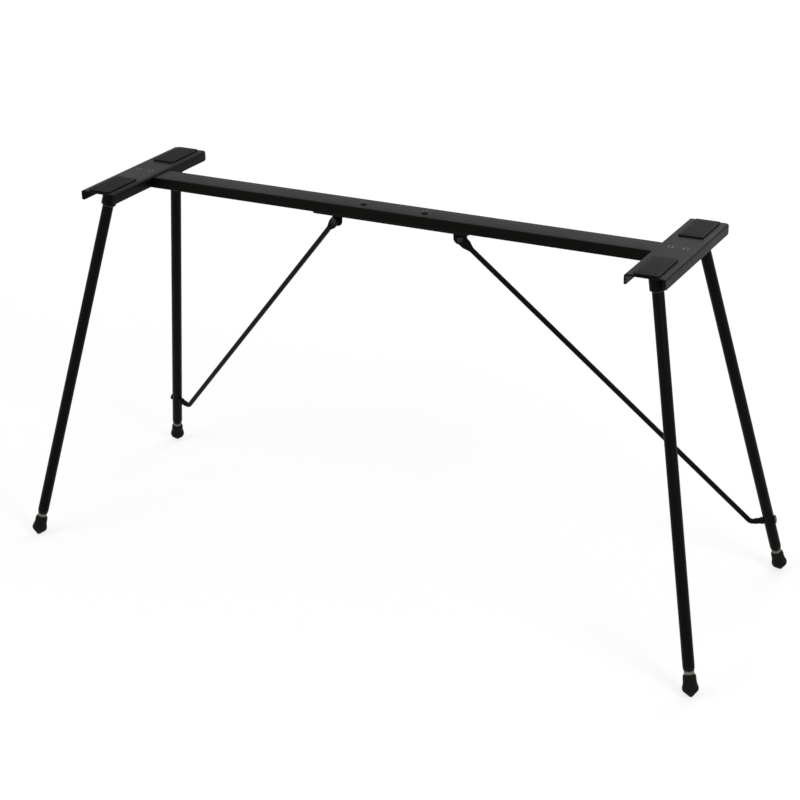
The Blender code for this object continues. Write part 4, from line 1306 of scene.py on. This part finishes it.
class STAND_OT_brace_bracket(StandOperator, bpy.types.Operator):
    """Make the plate under the spine, its two drilled ears and their weld beads."""

    bl_idname = "stand.brace_bracket"
    bl_label = "Brace bracket"

    def execute(self, context):
        stand = context.scene.stand
        leg, top, brace, along = stand.leg, stand.top, stand.brace, Along(stand)
        lines = {side: BraceLine(stand, sign) for side, sign in SIDES.items()}
        reach = abs(lines["right"].pivot[0]) + top.base_margin
        outline, normals = rounded_outline(reach, top.base_width / 2, 0.006)
        place = np.eye(4)
        place[2, 3] = along.base_top
        slab = slab_rings(outline, normals, top.base_thickness, 0.0006)
        item = add(stand, "bracket_plate", [(moved(slab, place), False)], "coat", "brace_bracket")
        bore = top.screw_radius + leg.gap
        rows = [(0.0, -0.02), (bore, -0.02), (bore, 0.02), (0.0, 0.02)]
        cutters = []
        for sign in SIDES.values():
            hole = place.copy()
            hole[0, 3] = sign * top.base_screw_x
            cutters.append(turned(hole, rows, 48, steps=1))
        cut_away(item, cutters)
        for side, line in lines.items():
            self.ear(stand, side, line, along.base_under, bore)
        return {"FINISHED"}

    def ear(self, stand, side, line, level, bore):
        """A tongue with a round end about its hole, and a bead along its root at each face."""
        top = stand.top
        thick, radius = top.ear_thickness, top.ear_radius
        rise = level + top.base_thickness / 2 - line.pivot[2]
        outline, normals = tongue_outline(radius, rise)
        seat = line.pivot + line.across * (stand.brace.tab_thickness / 2 + stand.leg.gap)
        place = place_at(seat + line.across * thick, line.across, (0.0, 0.0, 1.0))
        rings = slab_rings(outline, normals, thick, 0.0005, hole=bore)
        grids = [(moved(rings, place), True)]
        along_root = np.cross(line.across, (0.0, 0.0, 1.0))
        for face in (0.0, thick):
            middle = seat + line.across * face
            middle[2] = level
            grids.append((weld_rings(middle, along_root * (radius - 0.001), top.ear_weld), False))
        add(stand, side + "_ear", grids, "coat", "")


class STAND_OT_camera(StandOperator, bpy.types.Operator):
    """Place the camera at the photograph's angle."""

    bl_idname = "stand.camera"
    bl_label = "Camera"

    def execute(self, context):
        studio = context.scene.stand.studio
        right_level = np.array((cos(studio.yaw), sin(studio.yaw), 0.0))
        ahead_level = np.array((-sin(studio.yaw), cos(studio.yaw), 0.0))
        up_level = np.array((0.0, 0.0, 1.0))
        ahead = ahead_level * cos(studio.pitch) - up_level * sin(studio.pitch)
        up = up_level * cos(studio.pitch) + ahead_level * sin(studio.pitch)
        right = right_level * cos(studio.roll) + up * sin(studio.roll)
        top = up * cos(studio.roll) - right_level * sin(studio.roll)
        matrix = np.eye(4)
        matrix[:3, :3] = np.stack((right, top, -ahead), axis=1)
        matrix[:3, 3] = studio.place
        data = bpy.data.cameras.new("camera")
        data.sensor_width = 36.0
        data.lens = studio.lens
        data.clip_end = 100.0
        item = bpy.data.objects.new("camera", data)
        context.scene.collection.objects.link(item)
        item.matrix_world = Matrix(matrix.tolist())
        context.scene.camera = item
        return {"FINISHED"}


class STAND_OT_stage(StandOperator, bpy.types.Operator):
    """Make the pale floor, the white surroundings and the soft studio lamps."""

    bl_idname = "stand.stage"
    bl_label = "Stage"

    def execute(self, context):
        studio = context.scene.stand.studio
        half = studio.floor / 2
        mesh = bpy.data.meshes.new("floor")
        mesh.from_pydata([(-half, -half, 0), (half, -half, 0), (half, half, 0), (-half, half, 0)], [],
                         [(0, 1, 2, 3)])
        floor = bpy.data.objects.new("floor", mesh)
        context.scene.collection.objects.link(floor)
        mesh.materials.append(self.floor_finish(studio))
        context.scene.world = self.surroundings(studio)
        self.lamp(context, "key", (3.4, -1.7, 2.8), 1.6, 70.0)
        self.lamp(context, "fill", (-2.2, -3.0, 2.8), 2.6, 50.0)
        self.lamp(context, "rear", (0.6, 3.4, 2.8), 2.4, 38.0)
        context.scene.view_settings.view_transform = "Standard"
        return {"FINISHED"}

    def floor_finish(self, studio):
        """A floor that is seen as white and still darkens where the stand shades it.

        Its own glow makes up for the lamps' light where that fades: white + shade * lamp light
        * smooth step, from near to far, of the distance from where they light it most.
        """
        look = Look(bpy.data.materials.new("pale_floor"))
        place = look.node("ShaderNodeTexCoord", {}, {}, "Object")
        distance = look.node("ShaderNodeVectorMath", {"operation": "DISTANCE"},
                             {0: place, 1: tuple(studio.lit_at)}, "Value")
        fade = distance.band(studio.near, studio.far)
        glow = studio.white + studio.shade * studio.lit_most * fade
        glowing = look.node("ShaderNodeEmission", {}, {"Strength": glow})
        shaded = look.node("ShaderNodeBsdfDiffuse", {}, {"Color": grey(studio.shade)})
        white = look.node("ShaderNodeAddShader", {}, {0: glowing, 1: shaded})
        pale = look.node("ShaderNodeBsdfDiffuse", {}, {"Color": grey(0.8)})
        look.surface(look.node("ShaderNodeMixShader", {}, {0: look.seen(), 1: pale, 2: white}))
        return look.owner

    def surroundings(self, studio):
        """A world that is white to look at and lights the stand softly."""
        look = Look(bpy.data.worlds.new("surroundings"))
        light = look.node("ShaderNodeBackground", {}, {"Color": grey(1.0), "Strength": studio.world})
        white = look.node("ShaderNodeBackground", {}, {"Color": grey(1.0), "Strength": 1.0})
        look.surface(look.node("ShaderNodeMixShader", {}, {0: look.seen(), 1: light, 2: white}))
        return look.owner

    def lamp(self, context, name, place, width, power):
        """A square lamp that faces the stand's middle."""
        data = bpy.data.lights.new(name, "AREA")
        data.shape = "SQUARE"
        data.size = width
        data.energy = power
        item = bpy.data.objects.new(name, data)
        context.scene.collection.objects.link(item)
        place = np.array(place)
        item.matrix_world = Matrix(place_at(place, place - np.array((0.0, 0.0, 0.3))).tolist())


class STAND_PT_panel(bpy.types.Panel):
    """Lists the stand's pieces and settings."""

    bl_label = "Keyboard stand"
    bl_idname = "STAND_PT_panel"
    bl_space_type = "VIEW_3D"
    bl_region_type = "UI"
    bl_category = "Stand"

    def draw(self, context):
        layout = self.layout
        for operator in OPERATORS:
            layout.operator(operator.bl_idname)
        for key, group in GROUPS.items():
            box = layout.box()
            box.label(text=group.__doc__)
            for field in group.__annotations__:
                box.prop(getattr(context.scene.stand, key), field)


OPERATORS = (STAND_OT_camera, STAND_OT_leg_tubes, STAND_OT_leg_studs, STAND_OT_leg_plugs, STAND_OT_sockets,
             STAND_OT_feet, STAND_OT_braces, STAND_OT_brace_fittings, STAND_OT_screws, STAND_OT_pads,
             STAND_OT_side_brackets, STAND_OT_spine, STAND_OT_brace_bracket, STAND_OT_stage)
CLASSES = (*GROUPS.values(), StandSettings, *OPERATORS, STAND_PT_panel)


def register():
    """Register the classes and hang the settings on the scene."""
    for item in CLASSES:
        bpy.utils.register_class(item)
    bpy.types.Scene.stand = bpy.props.PointerProperty(type=StandSettings)


def unregister():
    """Take the settings and classes away again."""
    del bpy.types.Scene.stand
    for item in reversed(CLASSES):
        bpy.utils.unregister_class(item)


def main():
    """Build the stand and its stage."""
    register()
    for operator in OPERATORS:
        group, name = operator.bl_idname.split(".")
        getattr(getattr(bpy.ops, group), name)()


if __name__ == "__main__":
    main()
